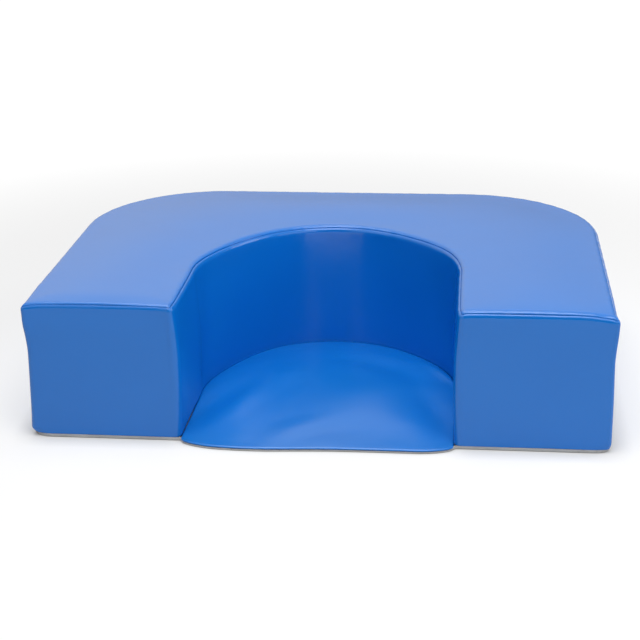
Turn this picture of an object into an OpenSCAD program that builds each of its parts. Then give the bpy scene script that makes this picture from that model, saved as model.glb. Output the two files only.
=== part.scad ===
// Foam floor seat: a U-shaped foam block in a sewn vinyl cover, with a thin seat pad in its
// well, a non-slip base and a closing zip low on the back.
// The origin is on the floor under the middle of the footprint. +X points to the right as
// seen from the front, +Y to the back and +Z up. All lengths are in millimetres.

/* [Block] */
// Width over both arms
body_w = 860; // [820:10:940]
// Depth from the arm fronts to the back
body_d = 610; // [590:10:700]
// Height to the top of the rolled edges
body_h = 215; // [170:5:250]
// Radius of the two back corners
corner_r = 220; // [180:5:240]
// Radius of the upright front corners
front_corner_r = 10; // [6:1:14]
// Rise of the crowned top above its rolled edges
top_crown = 3; // [0:0.5:6]
// Radius of the rolled top edges
edge_roll = 12; // [8:1:18]
// How far the sides draw in at their waist
draw_in = 3; // [0:0.5:5]
// Height below which the sides stand upright
draw_z = 60; // [52:2:90]

/* [Well] */
// Width of the well between the arms
well_w = 405; // [380:5:460]
// Depth of the well from the arm fronts
well_d = 395; // [360:5:420]
// Length of the straight part of the well's sides
well_straight = 140; // [100:10:180]

/* [Cover] */
// Thickness of the vinyl
vinyl_t = 1; // [0.8:0.1:1.4]
// Thickness of the base fabric
base_t = 1.2; // [0.8:0.1:2]
// Height of the base fabric's turned-up edge
lip_h = 5; // [4:0.5:8]
// Height of that edge in front of the seat pad
pad_lip_h = 2.5; // [2.2:0.1:3.5]
// How far the front cover wraps round onto each side
side_wrap = 40; // [25:5:60]
// Clearance between neighbouring pieces
fit_gap = 0.3; // [0.2:0.05:0.4]

/* [Seat pad] */
// Thickness of the seat foam
pad_foam_t = 6; // [4:1:12]
// How far the pad bulges ahead of the arms
pad_out = 20; // [12:1:30]
// Length of the bulge's rounded ends
pad_round = 60; // [30:5:90]
// Rise of the seat panel over its foam
pad_crown = 3; // [0:0.5:5]
// Roll of the seat panel's front edge
pad_roll = 8; // [5:1:10]

/* [Zip] */
// Height of the zip's centre line above the floor
zip_z = 34; // [28:1:40]
// Distance from each end of the zip opening to the nearer corner
zip_margin = 20; // [15:5:60]
// Height of the opening over the zip
zip_open_h = 16; // [14:1:20]
// Width of each tape
tape_w = 14.6; // [12:0.2:18]
// Thickness of the tapes
tape_t = 0.7; // [0.5:0.1:1]
// Gap between the two tapes
tape_split = 3.8; // [3.6:0.1:4.4]
// Length of tape tucked behind the cover at each end
tape_tuck = 8; // [4:1:12]
// Distance between two teeth on one tape
tooth_pitch = 4; // [3.8:0.1:5]
// Thickness of the teeth
tooth_t = 1.5; // [1.2:0.1:2]
// Width of a tooth at its root
tooth_root = 2; // [1.6:0.1:2.1]
// Width of a tooth at its tip
tooth_tip = 1.6; // [1.2:0.1:1.7]
// Length of the stops at both ends
stop_len = 3; // [2:0.5:5]
// Distance from a stop to the end of the opening
stop_in = 2; // [1:0.5:4]
// Running clearance of the slider and the pull tab
run_gap = 0.25; // [0.15:0.05:0.35]

/* [Slider and pull tab] */
// Length of the slider
slider_len = 11; // [10:0.5:14]
// Half width of the slider at its narrow end
slider_narrow = 4.3; // [4.2:0.1:4.8]
// Half width of the slider at its wide end
slider_wide = 5.2; // [5:0.1:6]
// Thickness of the slider's two plates
plate_t = 1.2; // [1:0.1:1.6]
// Height of the eye under the bridge
eye_h = 1.9; // [1.8:0.1:2.4]
// Length of the bridge
bridge_len = 8; // [7:0.5:9]
// Width of the bridge
bridge_w = 2.4; // [2:0.1:2.8]
// Thickness of the bridge's legs and bar
bridge_t = 1; // [0.8:0.1:1.3]
// Radius of the pull tab's cross-bar
bar_r = 0.7; // [0.6:0.05:0.75]
// Length of the pull tab from its cross-bar
pull_len = 26; // [18:1:40]
// Width of the pull tab
pull_w = 7.2; // [6.6:0.2:9]
// Thickness of the pull tab
pull_t = 1.2; // [0.8:0.1:1.3]

/* [Hidden] */

// Colours
vinyl_blue = [0.22, 0.46, 0.76];
top_blue = [0.48, 0.62, 0.86];
base_grey = [0.80, 0.81, 0.82];
foam_cream = [0.93, 0.90, 0.78];
tape_blue = [0.13, 0.30, 0.56];
tooth_blue = [0.10, 0.24, 0.48];
nickel = [0.70, 0.71, 0.72];

// Frame: the footprint reaches from the pad's bulge to the back
y_front = (pad_out - body_d) / 2;

// Levels of the cover
seam_a = 45;
seam_gap_a = fit_gap / edge_roll * 180 / PI;
roll_z = body_h - edge_roll;
cover_z = lip_h + fit_gap;
foam_in = vinyl_t + fit_gap;
foam_z = base_t + fit_gap;
base_ease = 1.5;
lip_t = vinyl_t;
crown_run = 120;
// Scales t * (1 - t)^2 to a peak of 1
waist_scale = 27 / 4;

// Facets of the outline, from an arm's front to the middle of the back
arc_steps = 3;
straight_steps = 4;
side_steps = 3;
turn_steps = 8;
rear_steps = 4;
waist_steps = 4;
cross_steps = 6;
back_start = arc_steps + straight_steps;
mid = back_start + side_steps + turn_steps + rear_steps;
last = 2 * mid;
loop_n = 2 * (last + 1) + 2 * (cross_steps - 1);

// Seat pad
bump_x = well_w / 2 - pad_round;
pad_top = foam_z + pad_foam_t + fit_gap + vinyl_t;
pad_low = pad_lip_h + fit_gap + vinyl_t;
pad_cols = 10;
bump_steps = 6;

// Zip, along X; depths are measured along Y from the arm fronts
zip_len = body_w - 2 * corner_r - 2 * zip_margin;
tape_y = body_d - vinyl_t - fit_gap;
tape_back = tape_y - tape_t;
tape_in = tape_split / 2;
tape_out = tape_in + tape_w;
tooth_y = tape_y + tooth_t;
chain_half = 3.2;
spine_in = 1.5;
tooth_reach = 1.1;
front_plate_y = tooth_y + run_gap;
slider_top = front_plate_y + plate_t;
back_plate_y = tape_back - run_gap - plate_t;
rail_in = chain_half + fit_gap;
rail_w = slider_narrow - rail_in;
wide_chamfer = 1.5;
wedge_x = 1.4;
wedge_half = 1.4;
channel_half = slider_wide + 1;
park_x = zip_len / 2 - stop_in - stop_len - fit_gap - slider_len / 2;
chain_x0 = -zip_len / 2 + stop_in + stop_len + fit_gap;
chain_x1 = park_x + wedge_x - run_gap;
tooth_count = floor((chain_x1 - chain_x0 - tooth_root - tooth_pitch / 2) / tooth_pitch) + 1;
bar_y = slider_top + run_gap + bar_r;
pull_eye = bridge_len / 2 + bridge_t;
pull_round = 2;
bar_fn = 48;
// How far a cut runs past the face that it opens
cut_over = 1;

function lerp(a, b, t) = a + (b - a) * t;
function clamp(t) = min(1, max(0, t));
function flip(p) = [-p[0], p[1]];
function quad(a, b, c, d) = [[a, b, c], [a, c, d]];

// Outline of the block, inset by d: point i runs from an arm's front to the middle of the back
function corner_at(d) = max(front_corner_r - d, 1);
function front_turn(i, d) =
    let (r = corner_at(d), a = 90 * i / arc_steps)
    [r * (1 - sin(a)), d + r * (1 - cos(a))];
function arm_y(i) = lerp(front_corner_r, well_straight, (i - arc_steps) / straight_steps);
function back_outer(k, d) =
    let (a = 90 * (k - side_steps) / turn_steps, r = corner_r - d)
    k <= side_steps
        ? [body_w / 2 - d, lerp(well_straight, body_d - corner_r, k / side_steps)]
        : k <= side_steps + turn_steps
            ? [body_w / 2 - corner_r + r * cos(a), body_d - corner_r + r * sin(a)]
            : [(body_w / 2 - corner_r) * (1 - (k - side_steps - turn_steps) / rear_steps), body_d - d];
function back_inner(k, d) =
    let (
        p = back_outer(k, 0),
        a = atan2(p[1] - well_straight, p[0]),
        rx = well_w / 2 + d,
        ry = well_d - well_straight + d,
        r = 1 / sqrt(pow(cos(a) / rx, 2) + pow(sin(a) / ry, 2))
    )
    [r * cos(a), well_straight + r * sin(a)];
function outer_half(i, d) =
    i <= arc_steps ? [body_w / 2 - d, 0] + [-front_turn(i, d)[0], front_turn(i, d)[1]]
    : i <= back_start ? [body_w / 2 - d, arm_y(i)]
    : back_outer(i - back_start, d);
function inner_half(i, d) =
    i <= arc_steps ? [well_w / 2 + d, 0] + front_turn(i, d)
    : i <= back_start ? [well_w / 2 + d, arm_y(i)]
    : back_inner(i - back_start, d);
function outer_pt(s, d) = s <= mid ? outer_half(s, d) : flip(outer_half(last - s, d));
function inner_pt(s, d) = s <= mid ? inner_half(s, d) : flip(inner_half(last - s, d));
function cross_pt(s, c, d) = lerp(outer_pt(s, d), inner_pt(s, d), c / cross_steps);

// The closed outline, anticlockwise seen from above
function outline(d) = concat(
    [for (s = [0 : last]) outer_pt(s, d)],
    [for (c = [1 : cross_steps - 1]) cross_pt(last, c, d)],
    [for (s = [last : -1 : 0]) inner_pt(s, d)],
    [for (c = [cross_steps - 1 : -1 : 1]) cross_pt(0, c, d)]
);

// The two strips of cover round the sides, as open paths in the same direction
function front_path(d) = concat(
    [[d - body_w / 2, side_wrap - fit_gap / 2]],
    [for (s = [last - arc_steps : last]) outer_pt(s, d)],
    [for (c = [1 : cross_steps - 1]) cross_pt(last, c, d)],
    [for (s = [last : -1 : 0]) inner_pt(s, d)],
    [for (c = [cross_steps - 1 : -1 : 1]) cross_pt(0, c, d)],
    [for (s = [0 : arc_steps]) outer_pt(s, d)],
    [[body_w / 2 - d, side_wrap - fit_gap / 2]]
);
function outer_path(d) = concat(
    [[body_w / 2 - d, side_wrap + fit_gap / 2]],
    [for (s = [arc_steps + 2 : last - arc_steps - 2]) outer_pt(s, d)],
    [[d - body_w / 2, side_wrap + fit_gap / 2]]
);

// Height and inset of the side's levels, at depth o under the outer face
function waist(z) =
    let (t = clamp((body_h - z) / (body_h - draw_z)))
    draw_in * waist_scale * t * pow(1 - t, 2);
function side_levels(z0, o) = concat(
    [[z0, o]],
    [for (k = [0 : waist_steps]) let (z = lerp(draw_z, roll_z, k / waist_steps)) [z, waist(z) + o]]
);
function roll_level(a, o) =
    let (r = edge_roll - o, z = roll_z + r * sin(a))
    [z, waist(z) + o + r * (1 - cos(a))];
function band_levels(o) = concat(
    side_levels(cover_z, o),
    [roll_level(seam_a / 2, o), roll_level(seam_a - seam_gap_a, o)]
);
function top_levels(o) = [for (a = [seam_a, (seam_a + 90) / 2, 90]) roll_level(a, o)];
function at_height(pts, z) = [for (p = pts) [p[0], p[1], z]];
function stack(levels) = [for (l = levels) each at_height(outline(l[1]), l[0])];

// The field inside a loop, crowned by rise at its middle: its inner points, and its faces
function crown_at(c, y) =
    let (u = 2 * c / cross_steps - 1, v = 1 - pow(1 - clamp(y / crown_run), 2))
    (1 - u * u) * v;
function field(level, rise = top_crown) = [
    for (s = [1 : last - 1])
        for (c = [1 : cross_steps - 1])
            let (p = cross_pt(s, c, level[1]))
            [p[0], p[1], level[0] + rise * crown_at(c, p[1])]
];
function field_i(s, c, ring, inside) =
    c == 0 ? ring + s
    : c == cross_steps ? ring + last + cross_steps + last - s
    : s == last ? ring + last + c
    : s == 0 ? ring + 2 * (last + 1) + 2 * (cross_steps - 1) - c
    : inside + (s - 1) * (cross_steps - 1) + c - 1;
function field_faces(ring, inside, turned = false) = [
    for (s = [0 : last - 1])
        for (c = [0 : cross_steps - 1])
            let (
                a = field_i(s, c, ring, inside),
                b = field_i(s, c + 1, ring, inside),
                e = field_i(s + 1, c + 1, ring, inside),
                f = field_i(s + 1, c, ring, inside)
            )
            each (turned ? quad(a, f, e, b) : quad(a, b, e, f))
];
function wall_faces(base, levels, turned = false) = [
    for (k = [0 : levels - 2])
        for (i = [0 : loop_n - 1])
            let (
                a = base + k * loop_n + i,
                b = base + k * loop_n + (i + 1) % loop_n
            )
            each (turned
                ? quad(a, b, b + loop_n, a + loop_n)
                : quad(a, a + loop_n, b + loop_n, b))
];
function rim_faces(a0, b0) = [
    for (i = [0 : loop_n - 1])
        let (j = (i + 1) % loop_n)
        each quad(a0 + i, a0 + j, b0 + j, b0 + i)
];

// A solid sheet between an outer and an inner grid, each a list of rows of equal length
module sheet(outer, inner) {
    rows = len(outer);
    cols = len(outer[0]);
    n = rows * cols;
    function at(r, c) = r * cols + c;
    faces = concat(
        [for (r = [0 : rows - 2]) for (c = [0 : cols - 2])
            each quad(at(r, c), at(r + 1, c), at(r + 1, c + 1), at(r, c + 1))],
        [for (r = [0 : rows - 2]) for (c = [0 : cols - 2])
            each quad(n + at(r, c), n + at(r, c + 1), n + at(r + 1, c + 1), n + at(r + 1, c))],
        [for (c = [0 : cols - 2]) each quad(at(0, c), at(0, c + 1), n + at(0, c + 1), n + at(0, c))],
        [for (c = [0 : cols - 2]) let (r = rows - 1)
            each quad(at(r, c), n + at(r, c), n + at(r, c + 1), at(r, c + 1))],
        [for (r = [0 : rows - 2]) each quad(at(r, 0), n + at(r, 0), n + at(r + 1, 0), at(r + 1, 0))],
        [for (r = [0 : rows - 2]) let (c = cols - 1)
            each quad(at(r, c), at(r + 1, c), n + at(r + 1, c), n + at(r, c))]
    );
    polyhedron(points = concat([for (r = outer) each r], [for (r = inner) each r]), faces = faces);
}

// Moves what is measured from the arm fronts into the part's frame
module placed() {
    translate([0, y_front, 0]) children();
}

// Puts a flat shape, drawn with X along the zip and Y up, at the zip with its outer face at y
module on_zip(y, t) {
    placed() translate([0, y, zip_z]) rotate([90, 0, 0]) linear_extrude(t) children();
}

module foam_core() {
    levels = concat(side_levels(foam_z, foam_in), [roll_level(seam_a, foam_in), roll_level(90, foam_in)]);
    count = len(levels);
    top = (count - 1) * loop_n;
    upper_field = field(levels[count - 1]);
    lower_field = field(levels[0], 0);
    n = top + loop_n;
    color(foam_cream) placed() difference() {
        polyhedron(
            points = concat(stack(levels), upper_field, lower_field),
            faces = concat(
                wall_faces(0, count),
                field_faces(top, n),
                field_faces(0, n + len(upper_field), turned = true)
            )
        );
        // A groove for the tapes and a deeper one for the slider's back plate
        zip_groove(zip_len / 2 + tape_tuck + fit_gap, tape_out + fit_gap, tape_back - fit_gap);
        zip_groove(zip_len / 2, channel_half, back_plate_y - fit_gap);
    }
}

module zip_groove(half_len, half_h, y) {
    translate([-half_len, y, zip_z - half_h]) cube([2 * half_len, body_d - y + cut_over, 2 * half_h]);
}

module seat_foam() {
    inset = pad_roll + fit_gap;
    right = concat(
        [for (k = [bump_steps : -1 : 0]) let (a = 90 * k / bump_steps)
            [bump_x + (pad_round - inset) * cos(a), (inset - pad_out) * sin(a)]],
        [[well_w / 2 - fit_gap, inset]],
        [for (i = [back_start : mid]) inner_pt(i, -fit_gap)]
    );
    left = [for (i = [len(right) - 2 : -1 : 0]) flip(right[i])];
    color(foam_cream) placed() translate([0, 0, foam_z])
        linear_extrude(pad_foam_t) polygon(concat(right, left));
}

module top_panel() {
    outer = top_levels(0);
    inner = top_levels(vinyl_t);
    count = len(outer);
    top = (count - 1) * loop_n;
    outer_pts = concat(stack(outer), field(outer[count - 1]));
    n = len(outer_pts);
    color(top_blue) placed() polyhedron(
        points = concat(outer_pts, stack(inner), field(inner[count - 1])),
        faces = concat(
            wall_faces(0, count),
            field_faces(top, top + loop_n),
            wall_faces(n, count, turned = true),
            field_faces(n + top, n + top + loop_n, turned = true),
            rim_faces(0, n)
        )
    );
}

module front_band() {
    color(vinyl_blue) placed() sheet(
        [for (l = band_levels(0)) at_height(front_path(l[1]), l[0])],
        [for (l = band_levels(vinyl_t)) at_height(front_path(l[1]), l[0])]
    );
}

module outer_band() {
    color(vinyl_blue) placed() difference() {
        sheet(
            [for (l = band_levels(0)) at_height(outer_path(l[1]), l[0])],
            [for (l = band_levels(vinyl_t)) at_height(outer_path(l[1]), l[0])]
        );
        zip_groove(zip_len / 2, zip_open_h / 2, tape_y);
    }
}

// Rows of the seat panel, from the front of its bulge to the back of the well: [y, half width]
function pad_half(y) = bump_x + pad_round * sqrt(1 - pow(y / pad_out, 2));
pad_rows = concat(
    [for (f = [0, 0.25, 0.6, 1]) let (y = pad_roll * f - pad_out) [y, pad_half(y)]],
    [[(pad_roll - pad_out) / 2, pad_half((pad_roll - pad_out) / 2)], [0, well_w / 2 - fit_gap]],
    [for (i = [arc_steps + 1 : mid - 1]) let (p = inner_pt(i, -fit_gap)) [p[1], p[0]]]
);
function pad_x(c, half) =
    c == 0 ? -half
    : c == pad_cols ? half
    : (half - pad_roll) * lerp(-1, 1, (c - 1) / (pad_cols - 2));
function pad_z(x, y, half) =
    let (
        q = min(clamp((y + pad_out) / pad_roll), clamp((half - abs(x)) / pad_roll)),
        roll = y < 0 ? lerp(pad_low, pad_top, sqrt(1 - pow(1 - q, 2))) : pad_top,
        v = 2 * (y + pad_out) / (well_d + pad_out) - 1
    )
    roll + pad_crown * (1 - pow(x / half, 2)) * (1 - v * v);
function pad_grid(drop) = [
    for (row = pad_rows) [
        for (c = [0 : pad_cols])
            let (x = pad_x(c, row[1]))
            [x, row[0], pad_z(x, row[0], row[1]) - drop]
    ]
];

module seat_panel() {
    color(vinyl_blue) placed() sheet(pad_grid(0), pad_grid(vinyl_t));
}

// Outline of the whole footprint, inset by d
function foot(d) = concat(
    [for (s = [0 : last]) outer_pt(s, d)],
    [for (k = [0 : bump_steps]) let (a = 90 * k / bump_steps)
        [-bump_x - (pad_round - d) * cos(a), d - pad_out * sin(a)]],
    [for (k = [bump_steps : -1 : 0]) let (a = 90 * k / bump_steps)
        [bump_x + (pad_round - d) * cos(a), d - pad_out * sin(a)]]
);

module base_panel() {
    color(base_grey) placed() difference() {
        union() {
            linear_extrude(base_t / 2) polygon(foot(base_ease));
            translate([0, 0, base_t / 2]) linear_extrude(lip_h - base_t / 2) polygon(foot(0));
        }
        translate([0, 0, base_t]) linear_extrude(lip_h) polygon(foot(lip_t));
        // The lower edge in front of the pad
        translate([-well_w / 2, -2 * pad_out, pad_lip_h])
            cube([well_w, 2 * pad_out + lip_t + fit_gap, lip_h]);
    }
}

module tape() {
    on_zip(tape_y, tape_t)
        translate([-zip_len / 2 - tape_tuck, tape_in])
            square([zip_len + 2 * tape_tuck, tape_w]);
}

module upper_tape() {
    color(tape_blue) tape();
}

module lower_tape() {
    color(tape_blue) translate([0, 0, 2 * zip_z]) mirror([0, 0, 1]) tape();
}

// A comb of teeth on one side of the chain; the spine lies on the tape
function tooth(x) = [
    [x + tooth_root / 2, spine_in],
    [x + tooth_tip / 2, -tooth_reach],
    [x - tooth_tip / 2, -tooth_reach],
    [x - tooth_root / 2, spine_in]
];
function comb(x0) = concat(
    [[chain_x0, chain_half], [chain_x0, spine_in]],
    [for (i = [0 : tooth_count - 1]) let (t = tooth(x0 + i * tooth_pitch)) each [t[3], t[2], t[1], t[0]]],
    [[chain_x1, spine_in], [chain_x1, chain_half]]
);

module upper_teeth() {
    color(tooth_blue) on_zip(tooth_y, tooth_t) polygon(comb(chain_x0 + tooth_root));
}

module lower_teeth() {
    color(tooth_blue) on_zip(tooth_y, tooth_t)
        mirror([0, 1]) polygon(comb(chain_x0 + tooth_root + tooth_pitch / 2));
}

module top_stops() {
    color(nickel) for (side = [0, 1])
        on_zip(tooth_y, tooth_t) mirror([0, side])
            translate([zip_len / 2 - stop_in - stop_len, tape_in]) square([stop_len, spine_in]);
}

module bottom_stop() {
    color(nickel) on_zip(tooth_y, tooth_t)
        translate([-zip_len / 2 + stop_in, -chain_half]) square([stop_len, 2 * chain_half]);
}

// Half of the slider's plan, on the upper side of the chain, from its narrow to its wide end
slider_edge = [
    [-slider_len / 2, slider_narrow],
    [0, slider_narrow],
    [slider_len / 2 - wide_chamfer, slider_wide],
    [slider_len / 2, slider_wide - wide_chamfer]
];

module slider_plan() {
    lower = [for (i = [len(slider_edge) - 1 : -1 : 0]) [slider_edge[i][0], -slider_edge[i][1]]];
    translate([park_x, 0]) polygon(concat(slider_edge, lower));
}

module slider_rail() {
    inner = [for (i = [2 : -1 : 0]) [slider_edge[i][0], slider_edge[i][1] - rail_w]];
    translate([park_x, 0]) polygon(concat([slider_edge[0], slider_edge[1], slider_edge[2]], inner));
}

module slider_body() {
    rail_t = front_plate_y - tape_y - run_gap;
    wedge_end = slider_len / 2 - fit_gap;
    color(nickel) union() {
        on_zip(slider_top, plate_t) slider_plan();
        on_zip(back_plate_y + plate_t, plate_t) slider_plan();
        for (side = [0, 1])
            on_zip(front_plate_y, rail_t) mirror([0, side]) slider_rail();
        // The wedge that parts the teeth joins the two plates
        on_zip(slider_top, slider_top - back_plate_y)
            translate([park_x, 0])
                polygon([
                    [wedge_x, 0],
                    [wedge_x + wedge_half, wedge_half],
                    [wedge_end, wedge_half],
                    [wedge_end, -wedge_half],
                    [wedge_x + wedge_half, -wedge_half]
                ]);
        // The bridge, with the eye for the pull tab's cross-bar
        placed() translate([park_x, slider_top, zip_z - bridge_w / 2]) linear_extrude(bridge_w)
            difference() {
                translate([-bridge_len / 2, 0]) square([bridge_len, eye_h + bridge_t]);
                translate([bridge_t - bridge_len / 2, 0]) square([bridge_len - 2 * bridge_t, eye_h]);
            }
    }
}

module pull_tab() {
    arm_in = bridge_w / 2 + fit_gap;
    plate_half = pull_w / 2;
    color(nickel) union() {
        placed() translate([park_x, bar_y, zip_z])
            cylinder(h = pull_w, r = bar_r, center = true, $fn = bar_fn);
        for (side = [0, 1])
            on_zip(bar_y + pull_t / 2, pull_t) mirror([0, side])
                translate([park_x - pull_eye - bridge_t, arm_in])
                    square([pull_eye + bridge_t, plate_half - arm_in]);
        on_zip(bar_y + pull_t / 2, pull_t)
            translate([park_x, 0]) polygon([
                [-pull_eye, plate_half],
                [pull_round - pull_len, plate_half],
                [-pull_len, plate_half - pull_round],
                [-pull_len, pull_round - plate_half],
                [pull_round - pull_len, -plate_half],
                [-pull_eye, -plate_half]
            ]);
    }
}

echo(park_x = park_x, bar_y = y_front + bar_y, travel = park_x - slider_len / 2 - chain_x0,
    back_y = y_front + body_d, pad_top = pad_top, teeth = tooth_count);

foam_core();
seat_foam();
top_panel();
front_band();
outer_band();
seat_panel();
base_panel();
upper_tape();
lower_tape();
upper_teeth();
lower_teeth();
top_stops();
bottom_stop();
slider_body();
pull_tab();
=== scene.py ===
"""Looks of the foam floor seat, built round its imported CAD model.

Each cover panel starts as a flat bmesh grid, the pattern that a sewer would cut. The grid is
graded, its opening is cut, and every vertex is then laid on the foam by the panel's own
mapping. All lengths are in metres, in the frame of the CAD model: +X right as seen from the
front, +Y back, +Z up, the floor at zero.
"""

import logging
import math
from collections.abc import Callable, Sequence
from dataclasses import dataclass, field
from enum import Enum

import bmesh
import bpy
import numpy as np
from mathutils import Matrix, Vector


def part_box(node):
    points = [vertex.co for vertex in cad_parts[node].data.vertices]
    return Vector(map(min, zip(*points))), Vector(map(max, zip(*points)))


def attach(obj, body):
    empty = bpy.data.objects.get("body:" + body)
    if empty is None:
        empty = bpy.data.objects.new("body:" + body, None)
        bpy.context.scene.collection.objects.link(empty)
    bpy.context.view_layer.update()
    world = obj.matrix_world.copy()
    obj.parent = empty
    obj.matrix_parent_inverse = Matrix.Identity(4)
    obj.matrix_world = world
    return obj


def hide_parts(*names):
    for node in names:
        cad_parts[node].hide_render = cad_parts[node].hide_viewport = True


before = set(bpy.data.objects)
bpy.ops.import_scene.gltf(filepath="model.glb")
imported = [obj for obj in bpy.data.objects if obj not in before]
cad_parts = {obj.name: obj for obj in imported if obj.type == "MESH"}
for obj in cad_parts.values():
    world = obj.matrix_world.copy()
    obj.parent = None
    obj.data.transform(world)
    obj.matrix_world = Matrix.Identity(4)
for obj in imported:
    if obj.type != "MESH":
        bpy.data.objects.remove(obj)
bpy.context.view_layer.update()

LOG = logging.getLogger("floor_seat")
FLOAT, VECTOR = "NodeSocketFloat", "NodeSocketVector"

MM = 0.001
HAIR = 0.001 * MM  # Lengths that differ by less than this count as equal
SLACK = 0.01 * MM  # How near a cut or a level a vertex lies to belong to it
TINY = 1e-9  # Keeps a divisor or a direction from being zero
STRAIGHT_SAMPLES, TURN_SAMPLES, WELL_SAMPLES = 120, 90, 360  # Points on the parts of a path
OFF_WELL = -1.0  # The turn of a place that isn't on the well's wall
OPEN_END = 10.0  # A seam line that lies past the end of a panel, where no edge is turned in
OPENING_HALF, OPENING_HEIGHT = 190 * MM, 16 * MM  # The opening in the outer strip over the zip

Array = np.ndarray
Colour = tuple[float, float, float]
Placer = Callable[[Array, Array], tuple[Array, Array]]
Part = tuple[Array, Array]
Socket = bpy.types.NodeSocket


class Body(Enum):
    """The moving bodies of the CAD model."""

    SEAT = "seat"
    SLIDER = "zip_slider"
    PULL = "zip_pull"


class Slot(Enum):
    """The material slots of the record."""

    VINYL = "vinyl"
    FOAM = "foam"
    BASE = "base_fabric"
    TAPE = "zip_tape"
    TEETH = "zip_teeth"
    METAL = "zip_metal"


# Shape helpers


def smooth(t: Array) -> Array:
    """Eases from 0 to 1 as t goes from 0 to 1, and is flat outside."""
    t = np.clip(t, 0.0, 1.0)
    return t * t * (3.0 - 2.0 * t)


def unit(v: Array) -> Array:
    """Scales each row of v to length 1."""
    return v / np.linalg.norm(v, axis=-1, keepdims=True)


def hump(distance: Array, width: float) -> Array:
    """A bell of height 1 that fades over width."""
    return np.exp(-((distance / width) ** 2))


def graded(start: float, stop: float, fine: float, coarse: float, reach: float) -> Array:
    """Positions that lie close together near both ends and wider between.

    Args:
        start: The first position.
        stop: The last position.
        fine: The spacing at the ends.
        coarse: The spacing further in than reach.
        reach: The distance over which the spacing grows.

    Returns:
        The positions, in rising order.
    """
    length = stop - start
    places = [0.0]
    while places[-1] < length:
        inside = max(0.0, min(places[-1], length - places[-1]))
        places.append(places[-1] + fine + (coarse - fine) * min(1.0, inside / reach))
    spread = np.array(places)
    return start + spread * (length / spread[-1])


def turned_in(x: Array, low: float, high: float, radius: Array | float) -> tuple[Array, Array]:
    """Turns the edges of a panel inwards at its two seam lines.

    Args:
        x: Flat places across the panel.
        low: The seam line at the low end.
        high: The seam line at the high end.
        radius: The radius of the turned edge.

    Returns:
        The places across the laid panel, and the depth below its face.
    """
    before = np.maximum(low + radius - x, 0.0)
    after = np.maximum(x - high + radius, 0.0)
    arc = np.maximum(before, after)
    bend = np.minimum(arc / radius, math.pi / 2)
    lateral = radius * np.sin(bend)
    depth = radius * (1.0 - np.cos(bend)) + np.maximum(arc - radius * math.pi / 2, 0.0)
    laid = np.where(before > 0, low + radius - lateral, x)
    return np.where(after > 0, high - radius + lateral, laid), depth


def spline(heights: Array, spots: Sequence[Array]) -> Array:
    """Reads a grid of heights smoothly between its points, as a cubic B-spline.

    Args:
        heights: The grid.
        spots: The row and the column of each place, with fractions.

    Returns:
        The height at each place.
    """
    taken, weights = [], []
    for spot, count in zip(spots, heights.shape):
        low = np.minimum(spot.astype(int), count - 2)
        t = spot - low
        taken.append([np.clip(low + i, 0, count - 1) for i in (-1, 0, 1, 2)])
        weights.append([
            (1 - t) ** 3 / 6,
            (3 * t**3 - 6 * t**2 + 4) / 6,
            (3 * t + 3 * t**2 - 3 * t**3 + 1) / 6,
            t**3 / 6,
        ])
    pairs = [(i, j) for i in range(4) for j in range(4)]
    return sum(heights[taken[0][i], taken[1][j]] * weights[0][i] * weights[1][j] for i, j in pairs)


def spots_on(sides: Sequence[Array], places: Array) -> list[Array]:
    """Where flat places fall on a graded grid, counted in its columns and its rows."""
    return [np.interp(places[:, i], side, np.arange(len(side))) for i, side in enumerate(sides)]


def round_edges(
    bm: bmesh.types.BMesh, edges: Sequence[bmesh.types.BMEdge], width: float, segments: int
) -> None:
    """Rounds some edges of a mesh.

    Args:
        bm: The mesh.
        edges: The sharp edges.
        width: The width of the rounding on each side.
        segments: How many faces it is made of.
    """
    bmesh.ops.bevel(
        bm,
        geom=edges,
        offset=width,
        offset_type="OFFSET",
        segments=segments,
        profile=0.5,
        affect="EDGES",
        material=-1,
        clamp_overlap=True,
    )


@dataclass(frozen=True)
class Waves:
    """A smooth wavy field in space, from a few plane waves."""

    lengths: tuple[float, ...]
    headings: tuple[float, ...]
    climbs: tuple[float, ...]
    shift: float

    def at(self, points: Array) -> Array:
        """The field at each place, from about -1 to 1."""
        total = np.zeros(len(points))
        for i, (length, heading, climb) in enumerate(zip(self.lengths, self.headings, self.climbs)):
            way = np.array([
                math.cos(heading) * math.cos(climb),
                math.sin(heading) * math.cos(climb),
                math.sin(climb),
            ])
            total += np.sin(points @ way * (2 * math.pi / length) + self.shift * (i + 1))
        return total / len(self.lengths)


BROAD = Waves((0.190, 0.243, 0.152, 0.311), (0.6, 2.1, -0.9, 0.1), (0.2, 0.3, 1.0, -0.3), 1.3)
TIGHT = Waves((0.0173, 0.0231, 0.0307, 0.0137), (0.4, 2.0, -0.8, 1.0), (0.1, 0.15, 0.1, -0.2), 2.2)


# The block


@dataclass(frozen=True)
class Rail:
    """A path in plan with outward normals, measured along the face that it carries."""

    points: Array
    normals: Array
    lengths: Array

    @classmethod
    def joined(cls, parts: Sequence[Part], offset: float) -> "Rail":
        """Joins sampled parts into one path.

        Args:
            parts: The points and normals of each part, in order.
            offset: How far the carried face lies outside the points.

        Returns:
            The path.
        """
        points = np.concatenate([p for p, _ in parts])
        normals = np.concatenate([n for _, n in parts])
        steps = np.linalg.norm(np.diff(points + offset * normals, axis=0), axis=1)
        return cls(points, normals, np.concatenate([[0.0], np.cumsum(steps)]))

    @property
    def length(self) -> float:
        """The length of the carried face."""
        return float(self.lengths[-1])

    def at(self, s: Array) -> tuple[Array, Array]:
        """The points and unit normals at the lengths s along the path."""
        x, y, nx, ny = (np.interp(s, self.lengths, c) for c in (*self.points.T, *self.normals.T))
        return np.column_stack([x, y]), unit(np.column_stack([nx, ny]))


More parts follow.
